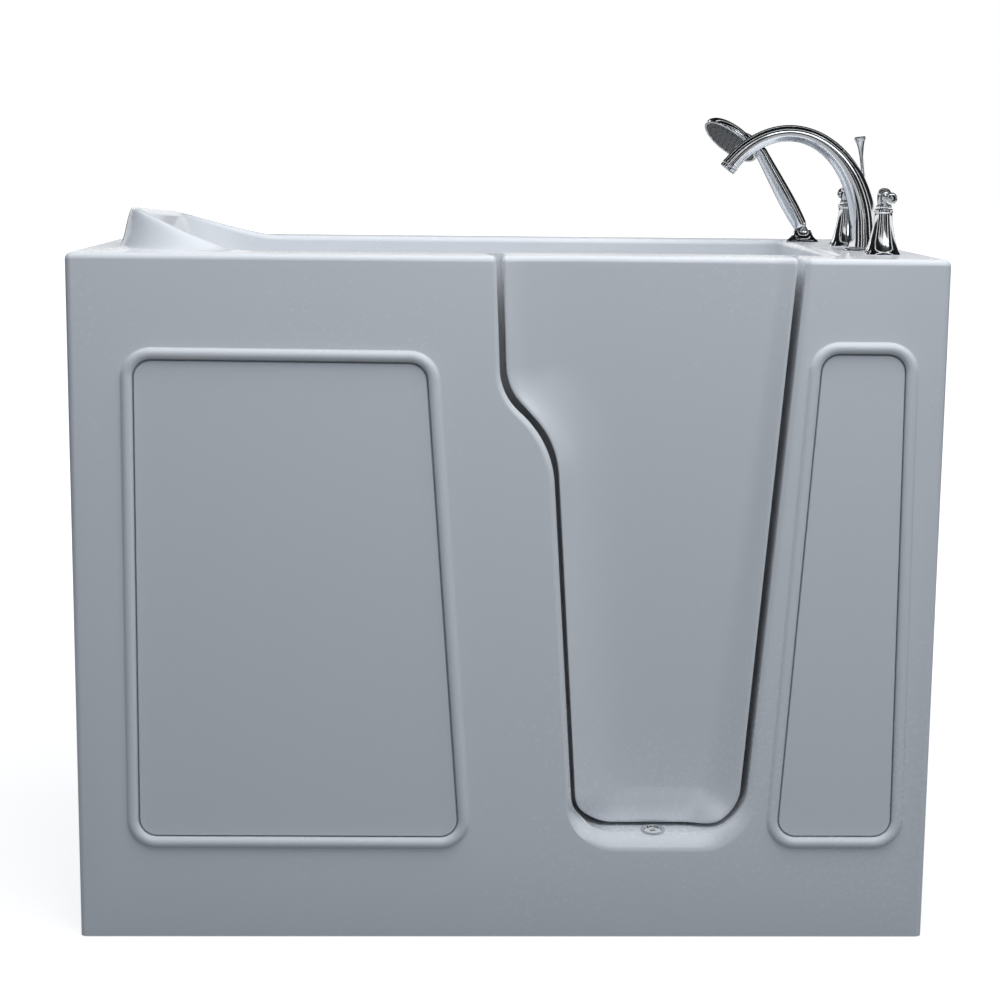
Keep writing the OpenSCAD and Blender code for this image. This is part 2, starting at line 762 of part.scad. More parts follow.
module overflow_plate() {
    x = basin_right_x - 1;
    color(chrome) difference() {
        union() {
            rod_x(x - 7, x - 2, drain.y, overflow_z, 36);
            rod_x(x - 3, x + 9, drain.y, overflow_z, 17);
        }
        rod_x(x - 8, x + 10, drain.y, overflow_z, latch_r + pin_clear);
        for (a = [0:60:300]) rod_x(x - 8, x + 10, drain.y + 11.5 * cos(a), overflow_z + 11.5 * sin(a), 3);
    }
}

module overflow_knob() {
    x = basin_right_x - 8;
    color(chrome) {
        rod_x(x - 16, x + 16, drain.y, overflow_z, latch_r);
        translate([x - 16, drain.y, overflow_z]) rotate([0, 90, 0]) cylinder(h = 14, r = 17, $fn = 12);
    }
}

// ---- Threshold drain ----

module threshold_drain() {
    z = threshold_z;
    color(chrome) difference() {
        union() {
            rod_z(threshold.x, threshold.y, z, z + 4.5, threshold_r);
            rod_z(threshold.x, threshold.y, z - 22, z + 1, 11.8);
        }
        rod_z(threshold.x, threshold.y, z - 23, z + 2, 9);
        for (a = [0:60:300]) rod_z(threshold.x + 6 * cos(a), threshold.y + 6 * sin(a), z, z + 6, 1.8);
        rod_z(threshold.x, threshold.y, z, z + 6, 1.8);
    }
}

module threshold_tube() {
    color(pvc) pipe_z(threshold.x, threshold.y, 44, threshold_z - 22, 9, 7);
}

// ---- Spout ----

function bezier(p, t) = pow(1 - t, 3) * p[0] + 3 * t * pow(1 - t, 2) * p[1]
    + 3 * t * t * (1 - t) * p[2] + pow(t, 3) * p[3];

spout_rise = [[tap_x - 3, tub_h + 50], [tap_x - 9, tub_h + 107], [tap_x - 53, tub_h + 165.5],
    [405, tub_h + 165.5]];
spout_fall = [[405, tub_h + 165.5], [374, tub_h + 165.5], [343, tub_h + 148], [323, tub_h + 122]];
spout_path = concat([[tap_x, tub_h + 4], [tap_x, tub_h + 26]],
    [for (i = [0:10]) bezier(spout_rise, i / 10)], [for (i = [1:9]) bezier(spout_fall, i / 9)]);
spout_radii = [[0, 21], [2, 20], [5, 17.5], [8, 14], [10, 12.5], [12, 11.5], [21, 11.5]];

module spout() {
    n = len(spout_path);
    color(chrome) difference() {
        skinned([for (i = [0:n - 1])
            let (t = unit(spout_path[min(n - 1, i + 1)] - spout_path[max(0, i - 1)]))
            let (r = lookup(i, spout_radii))
            let (side = r * [-t.y, t.x])
            [for (a = [0:22.5:337.5])
                let (p = spout_path[i] + side * cos(a)) [p.x, spout_y + r * sin(a), p.y]]]);
        diverter_frame() cylinder(h = 60, r = diverter_r + pin_clear, $fn = 48);
    }
}

diverter_r = 2.6;

// Foot of the lift rod's bore in the back of the spout
module diverter_frame() {
    translate([tap_x - 1, spout_y, tub_h + 86]) rotate([0, -7.5, 0]) children();
}

module spout_flange() {
    color(chrome) translate([tap_x, spout_y, tub_h]) turned([[0, 0], [26, 0], [25, 2.5], [22, 4], [0, 4]]);
}

module spout_aerator() {
    n = len(spout_path);
    tip = spout_path[n - 1];
    t = unit(tip - spout_path[n - 2]);
    color(chrome) translate([tip.x, spout_y, tip.y]) rotate([0, atan2(t.x, t.y), 0])
        difference() {
            cylinder(h = 10, r = 11.2, $fn = 48);
            translate([0, 0, 3]) cylinder(h = 8, r = 8.5, $fn = 48);
        }
}

// Threaded shank under the spout that holds it to the deck
module spout_shank() {
    color(brass) difference() {
        rod_z(tap_x, spout_y, tub_h - 60, tub_h, 13);
        rod_z(tap_x, spout_y, tub_h - 61, tub_h - 20, 9);
    }
}

// Lift rod with a flared knob; it pulls out of the back of the spout
module diverter_knob() {
    color(chrome) diverter_frame() turned([[0, 1], [diverter_r, 1], [diverter_r, 44], [3.2, 50], [5, 64],
        [8, 74], [7, 76], [0, 76.5]]);
}

// ---- Tap handles ----

module bell(y) {
    color(chrome) translate([tap_x, y, tub_h]) difference() {
        turned([[0, 0], [25, 0], [25, 1.5], [21.5, 6], [17, 20], [13.5, 40], [11.5, 56], [11, bell_h],
            [0, bell_h]]);
        translate([0, 0, -1]) cylinder(h = bell_h + 2, r = latch_r + pin_clear, $fn = 48);
    }
}

// Hub on a stem, with a trumpet-shaped lever pointing along the heading
module tap_lever(y, heading) {
    color(chrome) translate([tap_x, y, tub_h + bell_h]) {
        turned([[0, -bell_h + 10], [latch_r, -bell_h + 10], [latch_r, 0.3], [9.5, 0.3], [9.5, 4], [8.5, 5],
            [8.5, 22], [6, 25], [0, 26]]);
        translate([0, 0, 14]) rotate([0, 90, heading])
            turned([[0, 0], [5, 0], [4.2, 12], [4.2, 22], [6, 38], [8, 46], [7, 48], [0, 49]]);
    }
}

module cold_bell() {
    bell(cold_y);
}

module hot_bell() {
    bell(hot_y);
}

module cold_lever() {
    tap_lever(cold_y, -90);
}

module hot_lever() {
    tap_lever(hot_y, 88);
}

// Valve body hung through the deck, with a threaded water inlet below
module valve(y) {
    low = tub_h - 90;
    color(brass) difference() {
        union() {
            rod_z(tap_x, y, low + 20, tub_h, 15.5);
            rod_z(tap_x, y, low, low + 21, inlet_r);
        }
        rod_z(tap_x, y, low - 1, low + 24, 7.5);
        rod_z(tap_x, y, tub_h - 40, tub_h + 1, latch_r + pin_clear);
    }
}

module cold_valve() {
    valve(cold_y);
}

module hot_valve() {
    valve(hot_y);
}

module deck_lock_nuts() {
    under = tub_h - skin_t;
    color(brass) {
        for (y = [cold_y, hot_y]) translate([tap_x, y, under - 7]) difference() {
            cylinder(h = 7, r = 22, $fn = 6);
            translate([0, 0, -1]) cylinder(h = 9, r = 15.6, $fn = 48);
        }
        translate([tap_x, spout_y, under - 7]) difference() {
            cylinder(h = 7, r = 20, $fn = 6);
            translate([0, 0, -1]) cylinder(h = 9, r = 13.1, $fn = 48);
        }
    }
}

// ---- Hand shower ----

// Where the wand's axis crosses the collar's, with Z along the wand
module wand_frame() {
    translate([shower.x, shower.y, tub_h + 18]) rotate([0, -wand_lean, 0]) children();
}

// Flared collar with a leaning socket for the wand and a shank through the deck
module shower_collar() {
    color(chrome) difference() {
        union() {
            translate([shower.x, shower.y, tub_h])
                turned([[0, 0], [25, 0], [25, 2], [19, 6], [15, 16], [0, 16]]);
            rod_z(shower.x, shower.y, tub_h - 30, tub_h + 1, 11.5);
        }
        wand_frame() translate([0, 0, -15]) cylinder(h = 40, r = 8.6, $fn = 48);
    }
}

module shower_wand() {
    color(chrome) wand_frame() turned([[0, -14], [8, -14], [8, 6], [11, 10], [12.5, 42], [11.5, 84],
        [10.2, 124], [9.5, wand_end], [0, wand_end]]);
}

wand_end = 140;
head_axis = [40, 24.4];
head_at = [shower.x - 118, shower.y - 3, tub_h + 157];

module head_frame() {
    translate(head_at) rotate([0, head_axis[0], head_axis[1]]) children();
}

module shower_head() {
    color(chrome) difference() {
        union() {
            head_frame() turned([[0, -4], [47.5, -4], [48.5, 0], [47.5, 5], [43, 9.5], [30, 13.5],
                [14, 16], [0, 17]]);
            hull() {
                wand_frame() translate([0, 0, wand_end]) cylinder(h = 1, r = 9.5, $fn = 48);
                head_frame() translate([8, -3, 7]) cylinder(h = 3, r = 15, $fn = 48);
            }
        }
        head_frame() translate([0, 0, -30]) cylinder(h = 26, r = 60, $fn = 64);
        head_frame() translate([0, 0, -5]) cylinder(h = 3.5, r = 44, $fn = 64);
    }
}

module spray_face() {
    color(grey_face) head_frame() translate([0, 0, -5]) cylinder(h = 3.5, r = 43.8, $fn = 64);
}

tub_shell();
front_apron();
access_panel_left();
access_panel_right();
panel_studs_left();
panel_studs_right();
panel_catches();
bottom_rails();
cross_rails();
uprights();
seat_bearers();
footwell_bearers();
levelling_feet();
foot_lock_nuts();
door_outer_skin();
door_core();
door_inner_skin();
door_gasket();
door_hinge_leaves();
frame_hinge_leaves();
hinge_pins();
door_hinge_screws();
frame_hinge_screws();
latch_escutcheon();
latch_lever();
latch_finger();
latch_keeper();
drain_flange();
drain_shoe();
drain_plug();
waste_pipe();
overflow_pipe();
overflow_plate();
overflow_knob();
threshold_drain();
threshold_tube();
spout();
spout_flange();
spout_aerator();
spout_shank();
diverter_knob();
cold_bell();
hot_bell();
cold_lever();
hot_lever();
cold_valve();
hot_valve();
deck_lock_nuts();
shower_collar();
shower_wand();
shower_head();
spray_face();
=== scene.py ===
"""Looks of a walk-in bathtub with an inward-opening door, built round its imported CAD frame."""

import bmesh
import bpy
import numpy as np
from mathutils import Matrix, Vector
from mathutils.geometry import delaunay_2d_cdt


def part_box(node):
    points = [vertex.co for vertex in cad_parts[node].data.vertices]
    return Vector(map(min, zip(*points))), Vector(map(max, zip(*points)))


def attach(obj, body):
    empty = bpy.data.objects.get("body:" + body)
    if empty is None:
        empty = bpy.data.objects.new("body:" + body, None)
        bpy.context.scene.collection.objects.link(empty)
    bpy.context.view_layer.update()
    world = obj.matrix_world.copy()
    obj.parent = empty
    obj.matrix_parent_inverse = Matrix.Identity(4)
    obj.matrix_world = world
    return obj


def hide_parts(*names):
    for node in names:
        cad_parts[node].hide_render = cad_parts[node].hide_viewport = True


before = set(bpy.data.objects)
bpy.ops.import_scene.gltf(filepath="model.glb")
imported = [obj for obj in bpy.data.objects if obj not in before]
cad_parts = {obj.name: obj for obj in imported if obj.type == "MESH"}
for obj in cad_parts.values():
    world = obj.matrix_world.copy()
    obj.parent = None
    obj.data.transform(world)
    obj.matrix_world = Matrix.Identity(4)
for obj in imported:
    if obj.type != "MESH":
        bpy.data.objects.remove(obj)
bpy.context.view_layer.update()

bl_info = {
    "name": "Walk-in bathtub",
    "version": (1, 0, 0),
    "blender": (4, 5, 0),
    "location": "View3D > Sidebar > Bathtub",
    "description": "Builds the visible pieces of a walk-in bathtub with a door, and its studio",
    "category": "Add Mesh",
}

MM = 0.001
ARC_STEPS = 14
RIM_STEPS = 8
ROUND_STEPS = 6
FILLET_STEPS = 10
WALL_STEPS = 3
MERGE_DIST = 0.03
SHARP_ANGLE = np.radians(35)

# Places on the tub, in millimetres, from the middle of its footprint
FRONT_Y, BACK_Y = -333.0, 339.0
HALF_W = 584.0
DECK_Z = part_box("front_apron")[1].z / MM
APRON_FOOT_Z = 1.0
WALL_Y = -238.0
SKIN_Y = -232.0
RETURN_Y = -303.0
LIP_H = 38.0
BACK_CORNER_R = 20.0
BASIN_BACK_Y = 279.0
HINGE_X, HINGE_DEPTH = 412.0, 107.0
SILL_Z = 146.0
DOOR_GAP = 5.2
JAMB_BACK_R = 4.0

# Corners (x, z) on the apron's face, with the radius of each; the open ones end at a height above the rim
ABOVE_Z = DECK_Z + 70
DOORWAY = np.array([[-19.5, ABOVE_Z], [-8.4, 758.5], [61.8, 691.5], [98, SILL_Z], [327.5, SILL_Z],
                    [395.5, ABOVE_Z]])
DOORWAY_R = np.array([0, 76, 140, 58, 71, 0.0])
DOOR = np.array([[-15.3, ABOVE_Z], [-5.5, 764], [63.1, 690], [98.3, SILL_Z], [324.5, SILL_Z],
                 [390.2, ABOVE_Z]])
DOOR_R = np.array([0, 79, 123, 58, 67, 0.0])
SCOOP = np.array([[-25.5, ABOVE_Z], [-17, 758], [53, 686], [91.5, 126], [339, 126], [409, ABOVE_Z]])
SCOOP_R = np.array([0, 84, 130, 70, 72, 0.0])
PANELS = {
    "left": np.array([[-497, 799.5], [-500, 145.6], [-63, 144.5], [-110.4, 797.5]]),
    "right": np.array([[417, 813.3], [376.7, 146], [533.9, 146], [527.8, 813.3]]),
}
PANEL_R = np.full(4, 24.0)
PANEL_LEDGE, PANEL_LEDGE_DEPTH = 18.0, 5.0
PANEL_PLAY = 0.75
STUD_R = 5.0
BASIN = np.array([[-510.3, ABOVE_Z], [-385, 560], [34, 560], [44, 100], [442, 100], [451, ABOVE_Z]])
BASIN_R = np.array([0, 60, 25, 30, 40, 0.0])

# Taps on the deck
TAP_X = 517.0
COLD_Y, SPOUT_Y, HOT_Y = -203.0, -71.0, 62.0
SHOWER = (479.0, 224.0)
THRESHOLD = (208.0, -300.0, 144.2)


# ---- Lines and outlines ----

def unit(v):
    """Vectors divided by their lengths."""
    return v / np.linalg.norm(v, axis=-1, keepdims=True)


def cross2(a, b):
    """Cross product in the plane: positive where b turns anticlockwise from a."""
    return a[..., 0] * b[..., 1] - a[..., 1] * b[..., 0]


def grown(corners, d):
    """Corners of an anticlockwise outline moved out by d: where the two moved edges cross."""
    before = unit(corners - np.roll(corners, 1, 0))
    after = unit(np.roll(corners, -1, 0) - corners)
    p = corners + d * np.stack([before[:, 1], -before[:, 0]], 1)
    q = corners + d * np.stack([after[:, 1], -after[:, 0]], 1)
    return p + before * (cross2(q - p, after) / cross2(before, after))[:, None]


def grown_radii(corners, radii, d):
    """Radii that keep the rounding parallel: larger by d at an outer corner, smaller at an inner one."""
    bend = cross2(corners - np.roll(corners, 1, 0), np.roll(corners, -1, 0) - corners)
    return np.where(radii == 0, 0, np.maximum(1, radii + np.where(bend > 0, d, -d)))


def corner_arc(a, p, b, r, steps):
    """Arc of radius r that touches both legs of the corner a-p-b."""
    u, w = unit(a - p), unit(b - p)
    half = np.arccos(u @ w) / 2
    middle = p + unit(u + w) * r / np.sin(half)
    start, end = (p + leg * r / np.tan(half) - middle for leg in (u, w))
    a0, a1 = np.arctan2(start[1], start[0]), np.arctan2(end[1], end[0])
    turn = a0 + ((a1 - a0 + 3 * np.pi) % (2 * np.pi) - np.pi) * np.linspace(0, 1, steps + 1)
    return middle + r * np.stack([np.cos(turn), np.sin(turn)], 1)


def rounded(corners, radii, steps=ARC_STEPS):
    """Closed outline through the corners, each replaced by its arc. The third column is the corner's
    number."""
    n = len(corners)
    parts = [corner_arc(corners[i - 1], corners[i], corners[(i + 1) % n], radii[i], steps)
             if radii[i] else corners[i:i + 1] for i in range(n)]
    return np.vstack([np.column_stack([part, np.full(len(part), float(i))]) for i, part in enumerate(parts)])


def outline(corners, radii, d, steps=ARC_STEPS):
    """Rounded outline moved out by d, parallel to the first."""
    return rounded(grown(corners, d), grown_radii(corners, radii, d), steps)


def divided(points, counts):
    """Each straight step of a line cut into its count of equal parts."""
    parts = [p + (q - p) * np.arange(c)[:, None] / c for p, q, c in zip(points[:-1], points[1:], counts)]
    return np.vstack(parts + [points[-1:]])


def step_counts(points, length):
    """Number of parts of about the given length in each straight step of a line."""
    steps = np.linalg.norm(np.diff(points[:, :2], axis=0), axis=1)
    return np.maximum(1, np.round(steps / length)).astype(int)


def cut_level(points, z_left, z_right):
    """An open outline whose first and last points slide along their legs to the given heights."""
    points = points.copy()
    for end, near, z in ((0, 1, z_left), (-1, -2, z_right)):
        share = (z - points[near, 1]) / (points[end, 1] - points[near, 1])
        points[end, :2] = points[near, :2] + share * (points[end, :2] - points[near, :2])
    return points


def spline(points, n):
    """Catmull-Rom curve through the points, sampled at n steps: cubic between each pair, with shared
    tangents."""
    points = np.asarray(points, float)
    padded = np.vstack([2 * points[0] - points[1], points, 2 * points[-1] - points[-2]])
    t = np.linspace(0, len(points) - 1, n + 1)
    i = np.minimum(t.astype(int), len(points) - 2)
    s = (t - i)[:, None]
    p0, p1, p2, p3 = (padded[i + k] for k in range(4))
    return 0.5 * (2 * p1 + (p2 - p0) * s + (2 * p0 - 5 * p1 + 4 * p2 - p3) * s ** 2
                  + (3 * p1 - p0 - 3 * p2 + p3) * s ** 3)


def distance_to(points, line):
    """Shortest distance from each point to a line of short straight steps."""
    a, b = line[:-1, :2], line[1:, :2]
    ab = b - a
    p = points.reshape(-1, 1, 2)
    t = np.clip(((p - a) * ab).sum(-1) / (ab ** 2).sum(-1), 0, 1)
    return np.linalg.norm(p - a - t[..., None] * ab, axis=-1).min(1).reshape(points.shape[:-1])


def ease(t):
    """S-curve 3 t^2 - 2 t^3 from 0 to 1."""
    t = np.clip(t, 0, 1)
    return t * t * (3 - 2 * t)


def arc_blend(a, edge, b, turn):
    """Quarter ellipse from a to b that leaves a towards the edge point and meets b coming from it."""
    s, c = np.sin(turn), np.cos(turn)
    shape = (-1,) + (1,) * np.ndim(a)
    return a + (edge - a) * s.reshape(shape) + (b - edge) * (1 - c).reshape(shape)


def quarter(steps):
    """Angles of a quarter turn in equal steps."""
    return np.radians(np.linspace(0, 90, steps + 1))


# ---- Patches and pieces ----

def grid(points, wrap_v=False, finish=0):
    """Patch of four-sided faces over a grid of points: its points, its faces and the finish's number."""
    m, n = points.shape[:2]
    i, j = np.meshgrid(np.arange(m - 1), np.arange(n - (not wrap_v)), indexing="ij")
    j2 = (j + 1) % n
    faces = np.stack([i * n + j, i * n + j2, (i + 1) * n + j2, (i + 1) * n + j], -1).reshape(-1, 4)
    return points.reshape(-1, 3), faces, finish


def inside(points, loops):
    """True where a line from the point crosses the loops an odd number of times."""
    hits = np.zeros(len(points), int)
    x, y = points[:, :1], points[:, 1:2]
    for loop in loops:
        a, b = loop, np.roll(loop, -1, 0)
        spans = (a[:, 1] > y) != (b[:, 1] > y)
        with np.errstate(divide="ignore", invalid="ignore"):
            cross_x = a[:, 0] + (y - a[:, 1]) * (b[:, 0] - a[:, 0]) / (b[:, 1] - a[:, 1])
        hits += (spans & (x < cross_x)).sum(1)
    return hits % 2 == 1


def without_slivers(points, faces, least=0.01):
    """Triangles without slivers lower than least. One that lies along the outline, with no neighbour at its
    long side, is left out. In any other, with b between the ends of the long side a-c, that side gives way to
    the side from b to the far corner d of the neighbour."""
    faces = faces.copy()
    for _ in range(len(faces)):
        sides = np.linalg.norm(points[faces] - points[np.roll(faces, -1, 1)], axis=-1)
        ab, ac = (points[faces[:, k]] - points[faces[:, 0]] for k in (1, 2))
        thin = np.abs(cross2(ab, ac)) / sides.max(1) < least
        long_side = sides.argmax(1)
        ends = np.take_along_axis(faces, (long_side[:, None] + [0, 1]) % 3, 1)
        for k in np.flatnonzero(thin):
            shares = (faces[:, :, None] == ends[k]).any(1).all(1)
            if shares.sum() == 1:
                faces = np.delete(faces, k, 0)
                break
            shares &= ~thin
            if shares.any():
                m = np.flatnonzero(shares)[0]
                a, c, b = faces[k][(long_side[k] + np.arange(3)) % 3]
                d = faces[m][~np.isin(faces[m], (a, c))][0]
                faces[k], faces[m] = (b, a, d), (b, d, c)
                break
        else:
            break
    return faces


def flat(loops, lift):
    """Flat patch of triangles between closed loops; lift turns its (n, 2) points into places."""
    loops = [loop[:, :2] for loop in loops]
    loops = [loop[np.linalg.norm(loop - np.roll(loop, 1, 0), axis=1) > 1e-3] for loop in loops]
    starts = np.cumsum([0] + [len(loop) for loop in loops])
    edges = [(s + k, s + (k + 1) % len(loop)) for s, loop in zip(starts, loops) for k in range(len(loop))]
    corners, _, faces, *_ = delaunay_2d_cdt([Vector(p) for p in np.vstack(loops)], edges, [], 0, 1e-4)
    corners = np.array([c[:] for c in corners])
    faces = np.array([f for f in faces if len(f) == 3])
    faces = faces[inside(corners[faces].mean(1), loops)]
    return lift(corners), without_slivers(corners, faces), 0


def fan(ring):
    """Flat patch from a closed convex ring of places to its middle."""
    return grid(np.stack([ring, np.broadcast_to(ring.mean(0), ring.shape)]), wrap_v=True)


def at_y(y):
    """Lift from points (x, z) to places at the depth y."""
    return lambda p: np.column_stack([p[:, 0], np.full(len(p), y), p[:, 1]])


def at_z(z):
    """Lift from points (x, y) to places at the height z."""
    return lambda p: np.column_stack([p, np.full(len(p), z)])


def put(name, data):
    """New object in the scene."""
    made = bpy.data.objects.new(name, data)
    bpy.context.scene.collection.objects.link(made)
    return made


def piece(name, patches, body, finishes, replaces, outward=None, wall=0.0):
    """Joins patches into one object that rides on a body and stands for CAD nodes: equal points are merged,
    faces turned outwards and shaded smooth up to the sharp angle. outward is a (place, direction) pair for an
    open surface, wall its thickness."""
    starts = np.cumsum([0] + [len(p[0]) for p in patches])
    points = np.vstack([p[0] for p in patches]) * MM
    faces = [tuple(f) for start, p in zip(starts, patches) for f in (p[1] + start).tolist()]
    marks = np.concatenate([np.full(len(p[1]), p[2]) for p in patches])
    mesh = bpy.data.meshes.new(name)
    mesh.from_pydata(points.tolist(), [], faces)
    mesh.polygons.foreach_set("material_index", marks.astype(np.int32))
    bm = bmesh.new()
    bm.from_mesh(mesh)
    bmesh.ops.remove_doubles(bm, verts=bm.verts, dist=MERGE_DIST * MM)
    bmesh.ops.dissolve_degenerate(bm, dist=0.01 * MM, edges=bm.edges)
    loose = [v for v in bm.verts if not v.link_faces]
    bmesh.ops.delete(bm, geom=loose, context="VERTS")
    bmesh.ops.recalc_face_normals(bm, faces=bm.faces)
    if outward:
        place, direction = Vector(outward[0]) * MM, Vector(outward[1])
        nearest = min(bm.faces, key=lambda f: (f.calc_center_median() - place).length)
        if nearest.normal.dot(direction) < 0:
            bmesh.ops.reverse_faces(bm, faces=bm.faces)
    bm.to_mesh(mesh)
    bm.free()
    mesh.polygons.foreach_set("use_smooth", np.ones(len(mesh.polygons), bool))
    mesh.set_sharp_from_angle(angle=SHARP_ANGLE)
    for finish in finishes:
        mesh.materials.append(material(finish))
    made = put(name, mesh)
    if wall:
        solid = made.modifiers.new("Wall", "SOLIDIFY")
        solid.thickness, solid.offset = wall * MM, -1
    weighted = made.modifiers.new("Normals", "WEIGHTED_NORMAL")
    weighted.keep_sharp = True
    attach(made, body)
    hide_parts(*replaces)


def chrome_piece(name, patches, body, node):
    """Chrome piece that stands for one CAD node."""
    piece(name, patches, body, ["chrome"], (node,))


def lathe(profile, segments=72, finish=0):
    """Surface of revolution about Z: each (radius, height) of the profile carried round a circle."""
    turn = np.linspace(0, 2 * np.pi, segments, endpoint=False)
    r, z = np.asarray(profile, float).T
    points = np.stack([r[:, None] * np.cos(turn), r[:, None] * np.sin(turn),
                       np.broadcast_to(z[:, None], (len(r), segments))], -1)
    return grid(points, wrap_v=True, finish=finish)


def placed(patch, matrix):
    """Patch moved by a 4 x 4 matrix in millimetres."""
    m = np.array(matrix)
    return patch[0] @ m[:3, :3].T + m[:3, 3], patch[1], patch[2]


def frame_at(place, tilt=0.0, heading=0.0):
    """Place with Z leaning by tilt from upright towards the heading, both in degrees."""
    return (Matrix.Translation(place) @ Matrix.Rotation(np.radians(heading), 4, "Z")
            @ Matrix.Rotation(np.radians(tilt), 4, "Y"))


# ---- Scoop ----

SCOOP_SOFT = 3.0
SCOOP_LIP = outline(SCOOP, SCOOP_R, SCOOP_SOFT)
SCOOP_LEFT = SCOOP_LIP[SCOOP_LIP[:, 2] <= 3][:-ARC_STEPS]
SCOOP_RIGHT = SCOOP_LIP[SCOOP_LIP[:, 2] >= 4][ARC_STEPS // 2:]

# Depth in the middle at the sill and how much less it is at the rim, and the widths of the two flanks
SCOOP_DEPTH, SCOOP_DEPTH_FALL = 58, 36
FLANK_LEFT_W = 110
FLANK_RIGHT_W, FLANK_RIGHT_W_FALL = 50, 25
FLANK_START = 5

# Foot of the scoop on the door: depth at the sill, the deeper part over it, and where it starts to run out
FOOT_DEPTH, FOOT_HOLLOW, FOOT_HOLLOW_H = 50, 8, 45
FOOT_RUN_OUT_H, FOOT_RUN_OUT = 35, 50

# Border between the scoop's lip and the gap: on the ledge it has a quarter-ellipse nose
BORDER_STEPS = 36
BORDER_STEP = 24
BORDER_CAP, BORDER_CAP_OFF_LEDGE = 26, 60
LEDGE_TOP_Z, LEDGE_BLEND_H = 190, 40
LEDGE_LOST_EDGE = 0.94
NOSE_DEPTH, NOSE_LEFT_H, NOSE_SHARE, NOSE_SLOPE = 24.0, 0.9, 0.9, 2

# Jamb: how far the ends of its edge lean in at the rim, and the swing that its free side makes way for
RIM_LEAN = 4
SWING_REACH = 60
SWING_LEAST_DEPTH = 7
JAMB_ROWS = np.array([0.15, 0.35, 0.6, 0.8, 1.0])


def opened(corners, radii, d, counts, rim):
    """Outline grown by d and open at the top: it is cut where the rim's rounding starts, its straight steps
    are divided, and at both ends it climbs the rounding, z = start + rim sin a.
    Returns (n, 3) points with the corner's number, and the rim angle a of each point."""
    line = cut_level(outline(corners, radii, d), DECK_Z - rim, DECK_Z - rim)
    line = divided(line, counts)
    climb = quarter(RIM_STEPS)[1:]
    rise = rim * np.sin(climb)
    ends = []
    for end, near in ((0, 1), (-1, -2)):
        slope = (line[end, 0] - line[near, 0]) / (line[end, 1] - line[near, 1])
        ends.append(np.column_stack([line[end, 0] + slope * rise, line[end, 1] + rise,
                                     np.full(len(rise), line[end, 2])]))
    points = np.vstack([ends[0][::-1], line, ends[1]])
    angles = np.concatenate([climb[::-1], np.zeros(len(line)), climb])
    return points, angles


def soft_min(a, b, soft=10.0):
    """Smaller of two depths, with a parabola where they come closer than soft."""
    soft = np.minimum(soft, (a + b) / 2) + 1e-6
    near = np.maximum(0, soft - np.abs(a - b)) / soft
    return np.maximum(0, np.minimum(a, b) - near ** 2 * soft / 4)


def flank_depth(p):
    """Depth behind the apron's face at points (x, z) without the ledge: the depth in the middle, which falls
    from the sill to the rim, times a cubic flank on the left or an S-curve on the right."""
    up = (np.minimum(p[..., 1], DECK_Z) - SILL_Z) / (DECK_Z - SILL_Z)
    d_left = np.sqrt(distance_to(p, SCOOP_LEFT) ** 2 + FLANK_START ** 2) - FLANK_START
    left = 1 - (1 - np.clip(d_left / FLANK_LEFT_W, 0, 1)) ** 3
    right = ease(distance_to(p, SCOOP_RIGHT) / (FLANK_RIGHT_W + FLANK_RIGHT_W_FALL * (1 - up)))
    return (SCOOP_DEPTH - SCOOP_DEPTH_FALL * up) * np.minimum(left, right)


def scoop_depth(p):
    """Depth of the door's scoop: the flanks, and above the sill a foot that deepens by a quarter sine and
    then runs out by a parabola."""
    up = p[..., 1] - SILL_Z
    hollow = np.sin(np.pi / 2 * np.clip(up / FOOT_HOLLOW_H, 0, 1))
    foot = FOOT_DEPTH + FOOT_HOLLOW * hollow + np.maximum(0, up - FOOT_RUN_OUT_H) ** 2 / FOOT_RUN_OUT
    return soft_min(flank_depth(p), foot)


def in_3d(p, depth):
    """Points (x, z) at a depth behind the apron's face."""
    return np.stack([p[..., 0], np.broadcast_to(FRONT_Y + depth, p.shape[:-1]), p[..., 1]], -1)


def scoop_border(lip, inset, ledge, cap):
    """Points (x, z) from the scoop's lip to the inset line, and their depths: the flank's share of the depth
    at the inset line and, on the ledge, a quarter ellipse with a nearly level top."""
    span = inset[:, 1].min() - lip[:, 1].min()
    nose_h = span - NOSE_LEFT_H
    s = np.linspace(0, 1, BORDER_STEPS)
    on_nose = np.sin(np.clip(s / NOSE_SHARE, 0, 1) * np.pi / 2) * nose_h
    on_top = nose_h + (span - nose_h) * (s - NOSE_SHARE) / (1 - NOSE_SHARE)
    t = (1 - ledge) * s + ledge * (np.where(s < NOSE_SHARE, on_nose, on_top) / span)
    border = lip[:, None, :2] + t[..., None] * (inset - lip)[:, None, :2]
    up = t * span
    nose = np.where(up < nose_h, NOSE_DEPTH * (1 - np.sqrt(np.maximum(0, 1 - (up / nose_h) ** 2))),
                    NOSE_DEPTH + NOSE_SLOPE * (up - nose_h))
    flank = flank_depth(border)
    flank_share = np.clip(flank / np.maximum(flank[:, -1:], 1e-3), 0, 1)
    flank_share = np.minimum(flank_share, 1 - (1 - t) ** 2)
    share = (1 - ledge) * flank_share + ledge * nose / nose[:, -1:]
    return border, soft_min(flank[:, -1:], cap) * share


def door_swing(gap, depth, set_back, q):
    """How far the jamb's free side makes way at the depths q: the door's edge goes round the hinge, so by
    Pythagoras its reach grows to sqrt(reach^2 + edge^2 - q^2), with edge and q counted from the hinge."""
    reach = HINGE_X - gap[:, :1]
    edge_depth = np.maximum(SWING_LEAST_DEPTH, depth - set_back)[:, None]
    swing = np.sqrt(reach ** 2 + (HINGE_DEPTH - edge_depth) ** 2
                    - (HINGE_DEPTH - np.maximum(edge_depth, q)) ** 2) - reach
    free = np.clip(4 - gap[:, 2], 0, 1)[:, None]
    return free * np.where(reach > SWING_REACH, swing, 0)


